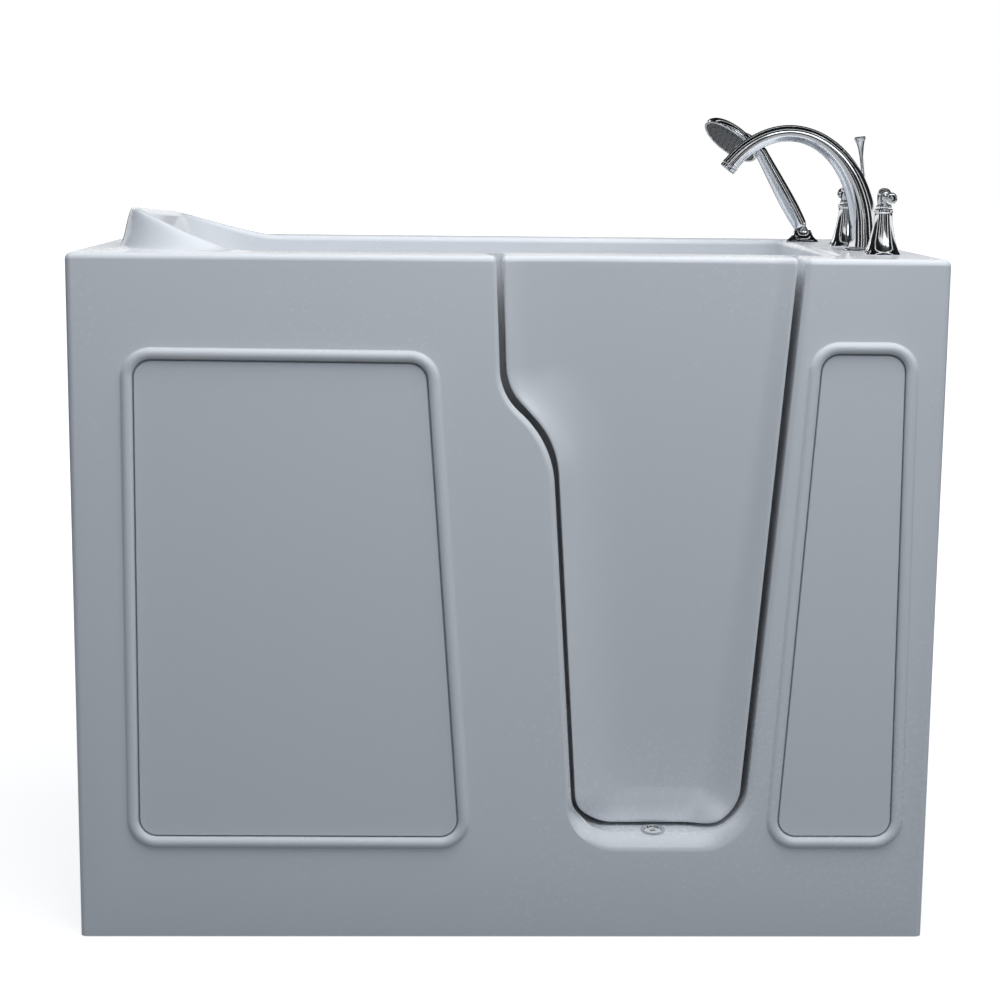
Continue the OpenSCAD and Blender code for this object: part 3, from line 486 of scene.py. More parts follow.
def doorway_edges(rim, edge):
    """The body round the door as one grid: from the scoop's lip over the scoop's border to the gap, round the
    edge, along the jamb, which makes way for the swing of the door, and round the jamb's back edge."""
    counts = step_counts(cut_level(outline(DOORWAY, DOORWAY_R, 0), DECK_Z - rim, DECK_Z - rim), BORDER_STEP)
    lip, angles = opened(SCOOP, SCOOP_R, SCOOP_SOFT, counts, rim)
    gap, inset, behind = (opened(DOORWAY, DOORWAY_R, DOOR_GAP / 2 + d, counts, rim)[0]
                          for d in (0, edge, JAMB_BACK_R))
    set_back = rim * (1 - np.cos(angles))

    # On the ledge the edge vanishes
    ledge = ease((LEDGE_TOP_Z - gap[:, 1]) / LEDGE_BLEND_H)[:, None]
    inset = gap + (inset - gap) * (1 - LEDGE_LOST_EDGE * ledge)
    edge = edge * (1 - LEDGE_LOST_EDGE * ledge[:, 0])
    cap = BORDER_CAP + BORDER_CAP_OFF_LEDGE * (1 - ledge)
    border, border_depth = scoop_border(lip, inset, ledge, cap)
    border = in_3d(border, border_depth + set_back[:, None])

    lean = -unit(gap[:, :2] - inset[:, :2]) * RIM_LEAN * (1 - np.cos(angles))[:, None]
    gap_line, behind_line = gap[:, :2] + lean, behind[:, :2] + lean
    depth = soft_min(flank_depth(gap[:, :2]), (cap + ledge)[:, 0]) + set_back
    turn = quarter(ROUND_STEPS)[1:]
    front = arc_blend(border[:, -1], in_3d(gap_line, depth), in_3d(gap_line, depth + edge), turn)

    start = (depth + edge)[:, None]
    end = (WALL_Y - FRONT_Y - JAMB_BACK_R - set_back)[:, None]
    q = np.concatenate([start + (end - start) * JAMB_ROWS, end + JAMB_BACK_R], 1)
    swing = door_swing(gap, depth, set_back, q)
    jamb = np.stack([gap_line[:, :1] - swing, FRONT_Y + q, np.broadcast_to(gap_line[:, 1:], q.shape)], -1)
    back = behind_line - np.column_stack([swing[:, -1], np.zeros(len(swing))])
    rear = arc_blend(jamb[:, -2], jamb[:, -1], in_3d(back, q[:, -1]), turn)
    columns = [border, front.transpose(1, 0, 2), jamb[:, :-1], rear.transpose(1, 0, 2)]
    return np.concatenate(columns, 1)


# ---- Basin ----

# Headrest: where its ramp starts, how long and how soft the ramp is, and its height at the two walls
CREST_START_X, CREST_RAMP = -366, 140
CREST_SOFT, CREST_POWER, CREST_CUT = 0.012, 1.25, 0.4
CREST_FRONT, CREST_FALL = 1.2, 0.42

# Outer slope of the headrest: its width on the arms and how much less it is on the left, its steps, and the
# share of it that stays level
HEADREST_W, HEADREST_W_LESS, HEADREST_STEPS = 36, 10, 19
HEADREST_LEVEL, HEADREST_LEVEL_LEFT, HEADREST_END, HEADREST_POWER = 0.04, 0.18, 0.98, 0.9

BASIN_STEP = 22
BACKREST_Z, BACKREST_H = 640, 260
TOP_STEP = 12
PLAN_STEP, PLAN_CORNER_STEPS = 40, 8


def crest(x, y, rise):
    """Height of the headrest over the deck: nothing by the seat's end, a soft ramp, then level on the left.
    It is a fifth higher at the front wall and a fifth lower at the rear wall."""
    t = (CREST_START_X - x) / CREST_RAMP
    ramp = 0.5 * (np.sqrt(t ** 2 + CREST_SOFT) - np.sqrt((t - 1) ** 2 + CREST_SOFT) + 1)
    tilt = CREST_FRONT - CREST_FALL * (y - WALL_Y) / (BASIN_BACK_Y - WALL_Y)
    return np.maximum(0, (rise + CREST_CUT) * ramp ** CREST_POWER - CREST_CUT) * tilt


def there_and_back(values, middle):
    """Values, the middle one a few times, and the values in reverse."""
    return np.concatenate([values, np.full(WALL_STEPS, middle), values[::-1]])


def basin_surface(rim, rise, fillet, corner):
    """Profile of backrest, seat, footwell and right wall carried from the front wall to the rear wall, with
    a fillet at both: near a wall the surface leaves the profile along its normal by r (1 - sin a) while it
    nears the wall by r cos a. The fillet grows towards the top of the backrest, and the two ends of the
    profile are drawn out or in along their legs until they meet the rim's foot."""
    line = cut_level(outline(BASIN, BASIN_R, 0), DECK_Z - rim + rise, DECK_Z - rim)
    line = divided(line, step_counts(line, BASIN_STEP))[:, :2]
    along = unit(np.gradient(line, axis=0))
    normal = np.stack([-along[:, 1], along[:, 0]], 1)
    on_back = np.clip((line[:, 1] - BACKREST_Z) / BACKREST_H, 0, 1) * (line[:, 0] < 0)
    r = (fillet + (corner - fillet) * ease(on_back))[:, None]
    a = quarter(FILLET_STEPS)
    h = there_and_back(1 - np.sin(a), 0.0)
    reach = r * (1 - np.cos(a))
    near, far = WALL_Y + reach, (BASIN_BACK_Y - reach)[:, ::-1]
    between = near[:, -1:] + (far[:, :1] - near[:, -1:]) * np.linspace(0, 1, WALL_STEPS + 2)[1:-1]
    y = np.concatenate([near, between, far], 1)
    p = line[:, None] + normal[:, None] * (r * h)[..., None]
    for end, sign in ((0, 1), (-1, -1)):
        leg = line[::sign][:, 1]
        foot = leg[1:][np.abs(np.diff(along[::sign][:, 0])) > 1e-4][0]
        share = np.clip((line[:, 1] - foot) / (line[end, 1] - foot), 0, 1)[:, None]
        share = np.where((line[:, :1] < 0) == (end == 0), share, 0)
        slope = (along[end] / along[end, 1])[None, :]
        for _ in range(4):
            top = DECK_Z - rim + (crest(p[end, :, 0], y[end], rise) if end == 0 else 0)
            p = p + (share * (top - p[end, :, 1]))[..., None] * slope
    return np.stack([p[..., 0], y, p[..., 1]], -1)


def run(x0, x1, step):
    """Places from x0 to x1 in equal steps of about the given length."""
    return np.linspace(x0, x1, max(1, round(abs(x1 - x0) / step)) + 1)


# ---- Body ----

def plan_corner(cx, cy, r, start):
    """Quarter circle of the rim in plan from the start angle on: its places and their directions outwards."""
    a = np.radians(np.linspace(start, start + 90, PLAN_CORNER_STEPS + 1))
    n = np.column_stack([np.cos(a), np.sin(a)])
    return np.array([cx, cy]) + r * n, n


def outer_rim(right, left, rim):
    """Outer side of the rim, from the doorway's right over the back to its left: each row in by
    rim (1 - cos a) and up by rim sin a. It starts and ends on the doorway's own rounded edges."""
    def front_leg(x0, x1):
        """Places along the front between two x, and the way out of the tub there."""
        x = run(x0, x1, PLAN_STEP)[1:-1]
        return np.column_stack([x, np.full(len(x), FRONT_Y)]), (0, -1)
    side, back = HALF_W - BACK_CORNER_R, BACK_Y - BACK_CORNER_R
    legs = [
        front_leg(right[0, 0], HALF_W - rim),
        plan_corner(HALF_W - rim, FRONT_Y + rim, rim, -90),
        (np.array([[HALF_W, RETURN_Y], [HALF_W, 0]]), (1, 0)),
        plan_corner(side, back, BACK_CORNER_R, 0),
        (np.array([[0.0, BACK_Y]]), (0, 1)),
        plan_corner(-side, back, BACK_CORNER_R, 90),
        (np.array([[-HALF_W, 0], [-HALF_W, RETURN_Y]]), (-1, 0)),
        plan_corner(-HALF_W + rim, FRONT_Y + rim, rim, 180),
        front_leg(-HALF_W + rim, left[0, 0]),
    ]
    plan = np.vstack([leg[0] for leg in legs])
    out = np.vstack([np.broadcast_to(leg[1], leg[0].shape) for leg in legs])
    rows = np.stack([at_z(DECK_Z - rim + rim * np.sin(a))(plan - rim * (1 - np.cos(a)) * out)
                     for a in quarter(RIM_STEPS)])
    return np.concatenate([right[:, None], rows, left[:, None]], 1)


def apron_face(low, scoop_line, right, left, rim):
    """Flat face of the apron between its ends, the rim, the scoop and the beads, and in each bead's opening
    the bead itself and the ledge behind the panel, with holes for the studs."""
    foot = [[HALF_W - rim, APRON_FOOT_Z], [-HALF_W + rim, APRON_FOOT_Z]]
    border = np.vstack([scoop_line[:-1], low[:right + 1, [0, 2]], foot, low[left:-1, [0, 2]]])
    beads = [panel_ring(v, BEAD_SECTION[0, 0]) for v in PANELS.values()]
    patches = [flat([border] + beads, at_y(FRONT_Y))]
    for v in PANELS.values():
        rings = np.stack([in_3d(panel_ring(v, offset), depth) for offset, depth in BEAD_SECTION])
        holes = [circle(place, STUD_R) for place in stud_places(v)]
        patches.append(grid(rings, wrap_v=True))
        patches.append(flat([rings[-1][:, [0, 2]], panel_ring(v, -PANEL_LEDGE)] + holes,
                            at_y(FRONT_Y + PANEL_LEDGE_DEPTH)))
    return patches


def basin_rim(basin, front_left, back, front_right, rim):
    """Rounding along the basin's top edge, from the doorway's left round to its right: up by rim sin a, on
    the left along the backrest's slope, and out by rim (1 - cos a). Returns its rows and each point's
    direction outwards."""
    a = quarter(FILLET_STEPS)
    side = np.concatenate([np.column_stack([-np.sin(a), -np.cos(a)]), np.tile([-1.0, 0.0], (WALL_STEPS, 1)),
                           np.column_stack([-np.sin(a), np.cos(a)])[::-1]])
    loop = np.vstack([at_y(WALL_Y)(front_left), basin[0], at_y(BASIN_BACK_Y)(back), basin[-1][::-1],
                      at_y(WALL_Y)(front_right)])
    out = np.vstack([np.tile([0.0, -1.0], (len(front_left), 1)), side, np.tile([0.0, 1.0], (len(back), 1)),
                     (side * [-1, 1])[::-1], np.tile([0.0, -1.0], (len(front_right), 1))])
    middle = FILLET_STEPS + 1 + WALL_STEPS // 2
    slope = basin[0, middle] - basin[1, middle]
    slope = slope / slope[2] * rim
    lean = np.tile([0, 0, rim], (len(loop), 1))
    on_left = slice(len(front_left), len(front_left) + len(side))
    lean[on_left] = slope * (-side[:, :1]) + np.array([0, 0, rim]) * (1 + side[:, :1])
    outward = np.column_stack([out * rim, np.zeros(len(out))])
    rows = np.stack([loop + lean * np.sin(t) + outward * (1 - np.cos(t)) for t in quarter(RIM_STEPS)])
    return rows, out


def headrest_slope(edge, out):
    """Outer slope of the headrest, from its top edge down to the deck by a cosine that starts steep. It is
    short on the left and long on the arms."""
    side_share = np.abs(out[:, :1])
    level = HEADREST_LEVEL + HEADREST_LEVEL_LEFT * side_share
    e = np.linspace(0, 1, HEADREST_STEPS)
    turn = np.clip((e - level) / (HEADREST_END - level), 0, 1) ** HEADREST_POWER
    fall = np.where(e < 0.999, 0.5 * (1 + np.cos(np.pi * turn)), 0)
    reach = (HEADREST_W - HEADREST_W_LESS * side_share) * e
    xy = edge[:, None, :2] + out[:, None] * reach[..., None]
    z = DECK_Z + np.maximum(0, edge[:, 2:] - DECK_Z) * fall
    return np.concatenate([xy, z[..., None]], -1)


def build_body(sizes):
    """Tub and apron as one moulding: face with scoop, beads and panel openings, jamb, rim, deck, headrest
    and basin."""
    rim = sizes.rim_radius / MM
    rise = sizes.headrest_rise / MM
    columns = doorway_edges(rim, sizes.jamb_edge_radius / MM)
    left_front, right_front = columns[:RIM_STEPS + 1, 0][::-1], columns[-RIM_STEPS - 1:, 0]
    left_back, right_back = columns[:RIM_STEPS + 1, -1][::-1], columns[-RIM_STEPS - 1:, -1]
    rim_rows = outer_rim(right_front, left_front, rim)
    patches = [grid(columns), grid(rim_rows)]

    # Below the rim: the apron with its returned ends goes to the floor, the other three sides to a low lip
    low = rim_rows[0]
    stops = np.flatnonzero(np.abs(low[1:-1, 1] - RETURN_Y) < 0.01) + 1
    right = np.flatnonzero(low[:, 0] >= HALF_W - rim - 0.01)[0]
    left = np.flatnonzero(low[:, 0] <= -HALF_W + rim + 0.01)[-1]
    for first, last, foot in ((right, stops[0], APRON_FOOT_Z), (stops[0], stops[-1], DECK_Z - LIP_H),
                              (stops[-1], left, APRON_FOOT_Z)):
        top = low[first:last + 1]
        patches.append(grid(np.stack([top, at_z(foot)(top[:, :2])])))
    scoop_line = columns[RIM_STEPS:-RIM_STEPS, 0][:, [0, 2]]
    patches += apron_face(low, scoop_line, right, left, rim)

    # Basin, with the flat parts of its front and rear walls
    basin = basin_surface(rim, rise, sizes.basin_fillet / MM, sizes.headrest_fillet / MM)
    patches.append(grid(basin))

    def wall_top(x0, x1, y):
        """Top edge of a long wall between two x: the deck less the rim's rounding, raised by the crest."""
        x = run(x0, x1, TOP_STEP)[1:-1]
        return np.column_stack([x, DECK_Z - rim + crest(x, y, rise)])
    gap_back = columns[RIM_STEPS:-RIM_STEPS, -1][:, [0, 2]]
    front_line, back_line = basin[:, 0][:, [0, 2]], basin[:, -1][:, [0, 2]]
    top_left = wall_top(gap_back[0, 0], front_line[0, 0], WALL_Y)
    top_right = wall_top(front_line[-1, 0], gap_back[-1, 0], WALL_Y)
    top_back = wall_top(back_line[0, 0], back_line[-1, 0], BASIN_BACK_Y)
    patches.append(flat([np.vstack([front_line, top_right, gap_back[::-1], top_left])], at_y(WALL_Y)))
    patches.append(flat([np.vstack([back_line, top_back[::-1]])], at_y(BASIN_BACK_Y)))

    # Top edge of the basin, which is level with the deck but for the raised headrest
    rows, out = basin_rim(basin, top_left, top_back, top_right, rim)
    rows = np.concatenate([left_back[:, None], rows, right_back[:, None]], 1)
    out = np.vstack([[0, -1], out, [0, -1]])
    inner = rows[-1]
    raised = np.flatnonzero(inner[:, 2] - DECK_Z > 0.02)
    k0, k1 = raised[0] - 1, raised[-1] + 1
    inner[:k0 + 1, 2] = inner[k1:, 2] = DECK_Z
    slope = headrest_slope(inner[k0:k1 + 1], out[k0:k1 + 1])
    patches += [grid(rows), grid(slope)]

    # Level part of the deck
    deck = np.vstack([columns[0][:-1], inner[:k0 + 1], slope[0, 1:-1], slope[:, -1], slope[-1, 1:-1][::-1],
                      inner[k1:], columns[-1][::-1][1:], rim_rows[-1][1:-1]])
    patches.append(flat([deck], at_z(DECK_Z)))
    piece("tub_body", patches, "tub", ["acrylic"], ("tub_shell", "front_apron"),
          outward=((0, FRONT_Y, 60), (0, -1, 0)), wall=sizes.shell_thickness / MM)


PANEL_ARC_STEPS = 10
PANEL_STEP = 60


def panel_ring(v, d):
    """Closed outline of a panel moved out by d, with the same points at every d."""
    base, ring = (outline(v, PANEL_R, by, PANEL_ARC_STEPS) for by in (0, d))
    counts = step_counts(np.vstack([base, base[:1]]), PANEL_STEP)
    return divided(np.vstack([ring, ring[:1]]), counts)[:-1, :2]


def circle(middle, r, n=20):
    """Points of a circle round the middle."""
    a = np.linspace(0, 2 * np.pi, n, endpoint=False)
    return np.asarray(middle) + r * np.column_stack([np.cos(a), np.sin(a)])


def stud_places(v):
    """Studs: in from the corners and at the middle of the tall sides, on the ledge's centre line."""
    c = grown(v, -PANEL_LEDGE / 2)
    middles = [(c[i] + c[(i + 2) % 4]) / 2 for i in range(4)]
    at_corners = [c[i] + unit(middles[i] - c[i]) * 12 for i in range(4)]
    return at_corners + [(c[0] + c[1]) / 2, (c[2] + c[3]) / 2]


# Section of the bead from its outer foot over the crest to the opening's wall: (offset, depth)
BEAD_SECTION = np.vstack([spline([[18.2, 0], [17.2, -0.15], [16.2, -0.9], [15.4, -2.3], [14.1, -4.0],
                                  [12.0, -5.4], [9.2, -6.0], [6.2, -5.6], [3.9, -4.3], [2.3, -2.4],
                                  [1.5, -0.2], [1.2, 2.2]], 26),
                          [[1.1, 3.4], [1.1, 8.0], [-2.5, 8.0], [-2.5, PANEL_LEDGE_DEPTH]]])


# ---- Door ----

DOOR_ARC_STEPS, DOOR_STEP, DOOR_COLUMNS = 40, 4, 45


def build_door(sizes):
    """Outer skin of the door: a grid of level rows between its two sides, each row's ends a door edge's
    rounding in from the edge; the rim's rounding on top, and rounded edges to straight sides."""
    rim = sizes.rim_radius / MM
    edge = sizes.door_edge_radius / MM
    line = cut_level(outline(DOOR, DOOR_R, -DOOR_GAP / 2 - edge, DOOR_ARC_STEPS), DECK_Z, DECK_Z)
    line = divided(line, step_counts(line, DOOR_STEP))
    low_z = line[:, 1].min()
    floor = np.flatnonzero(line[:, 1] < low_z + 1e-6)
    left, right = line[:floor[0] + 1], line[floor[-1]:]
    along = unit(np.gradient(line[:, :2], axis=0))
    normal = np.stack([along[:, 1], -along[:, 0]], 1)

    # Heights of the rows: round the rim, through every third point of both sides, and close to the foot
    climb = quarter(RIM_STEPS)[1:]
    body_z = np.concatenate([left[::3, 1], right[::3, 1]])
    body_z = np.sort(body_z[(body_z < DECK_Z - rim - 2) & (body_z > low_z + 0.4)])[::-1]
    apart = np.concatenate([[True], -np.diff(body_z) > 0.7])
    z = np.concatenate([(DECK_Z - rim + rim * np.sin(climb))[::-1], [DECK_Z - rim], body_z[apart],
                        [low_z + 0.12, low_z]])
    a = np.concatenate([climb[::-1], np.zeros(len(z) - len(climb))])

    def side(points, normals):
        """Places and directions outwards of one side at the rows' heights."""
        order = np.argsort(points[:, 1], kind="stable")
        x, nx, nz = (np.interp(z, points[order, 1], values[order])
                     for values in (points[:, 0], normals[:, 0], normals[:, 1]))
        return x, unit(np.column_stack([nx, nz]))
    x_left, n_left = side(left, normal[:floor[0] + 1])
    x_right, n_right = side(right, normal[floor[-1]:])
    n_left[-1] = n_right[-1] = (0, -1)
    u = 0.5 - 0.5 * np.cos(np.linspace(0, np.pi, DOOR_COLUMNS))
    x = x_left[:, None] + (x_right - x_left)[:, None] * u
    face = np.stack([x, np.broadcast_to(z[:, None], x.shape)], -1)
    surface = in_3d(face, scoop_depth(face) + (rim * (1 - np.cos(a)))[:, None])

    # Rounded edge and straight side, down the left, along the foot and up the right
    ring = np.vstack([surface[:, 0], surface[-1, 1:-1], surface[::-1, -1]])
    foot_n = np.tile([0.0, -1.0], (len(u) - 2, 1))
    ring_n = np.vstack([n_left, foot_n, n_right[::-1]])
    ring_a = np.concatenate([a, np.zeros(len(foot_n)), a[::-1]])
    edge_line = ring[:, [0, 2]] + ring_n * edge
    depth = scoop_depth(edge_line) + rim * (1 - np.cos(ring_a))
    edge_line = edge_line - ring_n * (RIM_LEAN * (1 - np.cos(ring_a)))[:, None]
    rounding = arc_blend(ring, in_3d(edge_line, depth), in_3d(edge_line, depth + edge), quarter(ROUND_STEPS))
    deep = SKIN_Y - FRONT_Y
    sides = np.stack([in_3d(edge_line, np.full(len(ring), q)) for q in (0.5 * deep + 15, deep)], 1)
    columns = np.concatenate([rounding.transpose(1, 0, 2), sides], 1)
    top = np.vstack([columns[0], columns[-1][::-1], surface[0, 1:-1][::-1]])
    patches = [grid(surface), grid(columns), flat([top], at_z(DECK_Z)),
               flat([columns[:, -1][:, [0, 2]]], at_y(SKIN_Y))]
    piece("door_skin", patches, "door", ["acrylic"], ("door_outer_skin",))


def build_panels(sizes):
    """Access panels: the opening's outline shrunk by the gap, with a small rounding on the front edge."""
    soft = sizes.panel_edge_radius / MM
    front = [(-PANEL_PLAY - soft * (1 - np.sin(t)), 1 + soft * (1 - np.cos(t))) for t in quarter(4)]
    section = [(-PANEL_PLAY - soft - 3, 1.0)] + front + [(-PANEL_PLAY, PANEL_LEDGE_DEPTH)]
    for name, v in PANELS.items():
        rings = np.stack([in_3d(panel_ring(v, offset), depth) for offset, depth in section])
        patches = [grid(rings, wrap_v=True), fan(rings[0]), fan(rings[-1])]
        piece(f"panel_{name}", patches, f"{name}_panel", ["panel_acrylic"],
              (f"access_panel_{name}",))


# Ledge below the door: height of its front edge and its depth
LEDGE_LOW_Z, LEDGE_RUN = 142, 36


def build_threshold():
    """Drain on the ledge: a ring round a sunk grille with a raised middle, square to the ledge's slope. Dark
    discs on the solid grille are painted shade where its holes would be.
    """
    slope = np.degrees(np.arctan2(SILL_Z - LEDGE_LOW_Z, LEDGE_RUN))
    at = frame_at(THRESHOLD, slope, -90)
    ring = lathe([[0.05, -3.6], [9, -3.6], [9, -22], [11.8, -22], [11.8, -1.2], [16.6, -1.2], [17.1, -0.3],
                  [16.9, 0.7], [16.0, 1.5], [14.6, 1.8], [13.2, 1.5], [12.2, 0.5], [11.6, -1.6], [11.0, -2.2],
                  [6.0, -2.2], [5.2, -1.8], [4.8, -0.4], [3.6, 0.7], [2.0, 1.2], [0.05, 1.3]], 64)
    # Dark discs just proud of the solid grille: painted shade where its holes would be, in the spray
    # plastic's dark colour
    painted_hole_shade = lathe([[0.02, -1.9], [1.3, -1.9], [1.5, -2.4]], 16, finish=1)
    patches = [placed(ring, at)]
    for x, y in circle((0, 0), 8.3, 12):
        patches.append(placed(painted_hole_shade, at @ Matrix.Translation((x, y, 0))))
    # The second finish is the spray plastic's dark colour, used here as the painted hole shade
    piece("threshold_strainer", patches, "tub", ["chrome", "spray_plastic"], ("threshold_drain",))


# ---- Taps ----

# Spout: heights of its crown and mouth over the deck, and the places (x) of its crown and mouth
CROWN_H, MOUTH_H = 165.5, 122
CROWN_X, MOUTH_X = 405, 323
MOUTH_LEAD = (343, 148)


def bezier(p, t):
    """Cubic curve from the first point to the last, pulled by the two between."""
    t = t[:, None]
    return ((1 - t) ** 3 * p[0] + 3 * t * (1 - t) ** 2 * p[1] + 3 * t ** 2 * (1 - t) * p[2] + t ** 3 * p[3])


def swept(path, radii, segments=48):
    """Points of a round tube in the plane of the spout: circles of the given radii square to the path."""
    t = unit(np.gradient(path, axis=0))
    a = np.linspace(0, 2 * np.pi, segments, endpoint=False)
    radii = radii[:, None]
    return np.stack([path[:, :1] - radii * np.cos(a) * t[:, 1:], SPOUT_Y + radii * np.sin(a),
                     path[:, 1:] + radii * np.cos(a) * t[:, :1]], -1)


def shrunk(ring, share, shift=0.0):
    """Ring of places drawn in to a share of its size about its middle, then shifted."""
    middle = ring.mean(0)
    return middle + (ring - middle) * share + shift


def build_spout():
    """Spout: a tapering tube along two joined cubic curves, closed at both ends."""
    z = DECK_Z
    crown = [CROWN_X, z + CROWN_H]
    rise = np.array([[516, z + 30], [514, z + 102], [466, z + CROWN_H], crown], float)
    fall = np.array([crown, [374, z + CROWN_H], [MOUTH_LEAD[0], z + MOUTH_LEAD[1]], [MOUTH_X, z + MOUTH_H]],
                    float)
    upright = [[TAP_X, z + up] for up in (0.5, 8, 17)]
    path = np.vstack([upright, bezier(rise, np.linspace(0, 1, 40)), bezier(fall, np.linspace(0, 1, 24))[1:]])
    run_length = np.concatenate([[0], np.cumsum(np.linalg.norm(np.diff(path, axis=0), axis=1))])
    keys = spline([[0, 23.2], [0.06, 21.4], [0.16, 19.6], [0.3, 17.0], [0.45, 14.3], [0.6, 12.2],
                   [0.75, 11.5], [0.9, 11.4], [1, 11.6]], 60)
    points = swept(path, np.interp(run_length / run_length[-1], keys[:, 0], keys[:, 1]))
    down = np.array([MOUTH_X - MOUTH_LEAD[0], MOUTH_H - MOUTH_LEAD[1]], float)
    out = unit(np.array([down[0], 0, down[1]]))
    mouth = [shrunk(points[-1], share, out * by) for share, by in ((0.97, 0.5), (0.9, 0.6), (0.02, 0.6))]
    tube = np.concatenate([[shrunk(points[0], 0.02)], points, mouth])
    chrome_piece("spout_tube", [grid(tube, wrap_v=True)], "tub", "spout")

    ring = lathe(spline([[0.2, 0], [27.2, 0], [27.6, 1.0], [27, 2.4], [25.2, 3.4], [23.4, 4.2], [22.6, 5.6],
                         [0.2, 5.8]], 60))
    chrome_piece("spout_base_ring", [placed(ring, frame_at((TAP_X, SPOUT_Y, z)))], "tub", "spout_flange")

    nozzle = lathe([[0.1, -4], [11.4, -4], [11.6, 0.4], [12.1, 0.9], [12.1, 4.4], [11.7, 4.9], [11.5, 5.4],
                    [11.8, 6.0], [11.8, 9.4], [11.2, 10], [9.0, 10], [8.8, 9.6], [8.6, 4], [0.1, 4]])
    mesh_rings = [lathe([[r, 4.3], [r + 0.35, 4.9], [r + 0.7, 4.3]], 36) for r in (1.2, 3.0, 4.8, 6.6)]
    at_mouth = frame_at((MOUTH_X, SPOUT_Y, z + MOUTH_H), np.degrees(np.arctan2(*down)))
    chrome_piece("spout_nozzle", [placed(part, at_mouth) for part in [nozzle] + mesh_rings], "tub",
                 "spout_aerator")

    pull = lathe(np.vstack([[[0.05, 1], [2.6, 1]],
                            spline([[2.6, 28], [2.65, 40], [3.0, 50], [4.2, 61], [6.2, 69], [8.0, 73.2],
                                    [8.0, 75.0], [7.0, 76.3], [3.5, 76.5], [0.05, 76.5]], 44)]), 40)
    at_pull = frame_at((TAP_X - 1, SPOUT_Y, z + 86), -7.5)
    chrome_piece("diverter_pull", [placed(pull, at_pull)], "diverter", "diverter_knob")


def build_handles():
    """Tap handles: a flared bell with a collar on the deck, and a lever hub above it."""
    bell = lathe(np.vstack([
        [[5.3, 0.2], [25.6, 0.2]],
        spline([[25.8, 1.0], [24.8, 3.0], [22.0, 8.0], [18.6, 18], [15.8, 30], [13.6, 42], [12.3, 52],
                [12.0, 57]], 36),
        [[12.4, 58.0], [13.0, 58.8], [13.0, 61.4], [12.4, 62.4], [11.4, 63.2], [5.3, 63.6]]]))
    hub = lathe(np.vstack([
        [[0.05, -54], [5, -54], [5, 0.4], [10.2, 0.4]],
        spline([[10.6, 1.4], [10.4, 3.4], [9.0, 4.6], [8.9, 6.0], [9.3, 10], [9.5, 16], [9.2, 20.5],
                [7.6, 24.2], [4.6, 26.4], [2.0, 27.2], [0.05, 27.3]], 44)]), 56)
    arm = lathe(np.vstack([
        [[0.05, 2], [5.4, 2]],
        spline([[5.4, 6], [4.7, 10], [4.2, 16], [4.3, 23], [5.2, 32], [6.9, 40], [8.0, 44.6], [8.0, 46.6],
                [6.6, 48.4], [3.4, 49.0], [0.05, 49.0]], 44)]), 40)
    for name, y, heading in (("cold", COLD_Y, -90.0), ("hot", HOT_Y, 88.0)):
        stand = frame_at((TAP_X, y, DECK_Z))
        chrome_piece(f"{name}_bell_cover", [placed(bell, stand)], "tub", f"{name}_bell")
        top = frame_at((TAP_X, y, DECK_Z + 64))
        level = Matrix.Rotation(np.radians(heading), 4, "Z") @ Matrix.Rotation(np.radians(90), 4, "Y")
        lever = [placed(hub, top), placed(arm, top @ Matrix.Translation((0, 0, 14)) @ level)]
        chrome_piece(f"{name}_lever_handle", lever, f"{name}_handle", f"{name}_lever")


WAND_LEAN = 30.0
NECK_START = 132
HEAD_AT = (SHOWER[0] - 118, SHOWER[1] - 3, DECK_Z + 157)
HEAD_TILT, HEAD_HEADING = 40.0, 24.4
NIB_RINGS = ((9.0, 6), (18.0, 12), (27.0, 18), (36.0, 24))
NIB_DEPTH = 4.3


def shower_neck(axis, head):
    """Neck of the hand shower: a tube that widens by a square along a quadratic curve, from the grip's end
    into the back of the head."""
    start, ahead = (np.array(axis @ Vector((0, 0, h))) for h in (NECK_START, NECK_START + 38))
    end = np.array(head @ Vector((4, -2, 6)))
    t = np.linspace(0, 1, 18)[:, None]
    spine = ((1 - t) ** 2 * start + 2 * t * (1 - t) * (start + (ahead - start) * 0.75) + t ** 2 * end)
    tangent = unit(np.gradient(spine, axis=0))
    across = unit(np.cross(tangent, [0, 1, 0]))
    other = np.cross(tangent, across)
    a = np.linspace(0, 2 * np.pi, 40, endpoint=False)[:, None]
    r = (9.8 + 5.2 * t ** 2)[..., None]
    neck = spine[:, None] + r * (np.cos(a) * across[:, None] + np.sin(a) * other[:, None])
    return grid(np.concatenate([spine[:1, None] + (neck[:1] - spine[:1, None]) * 0.01, neck]), wrap_v=True)


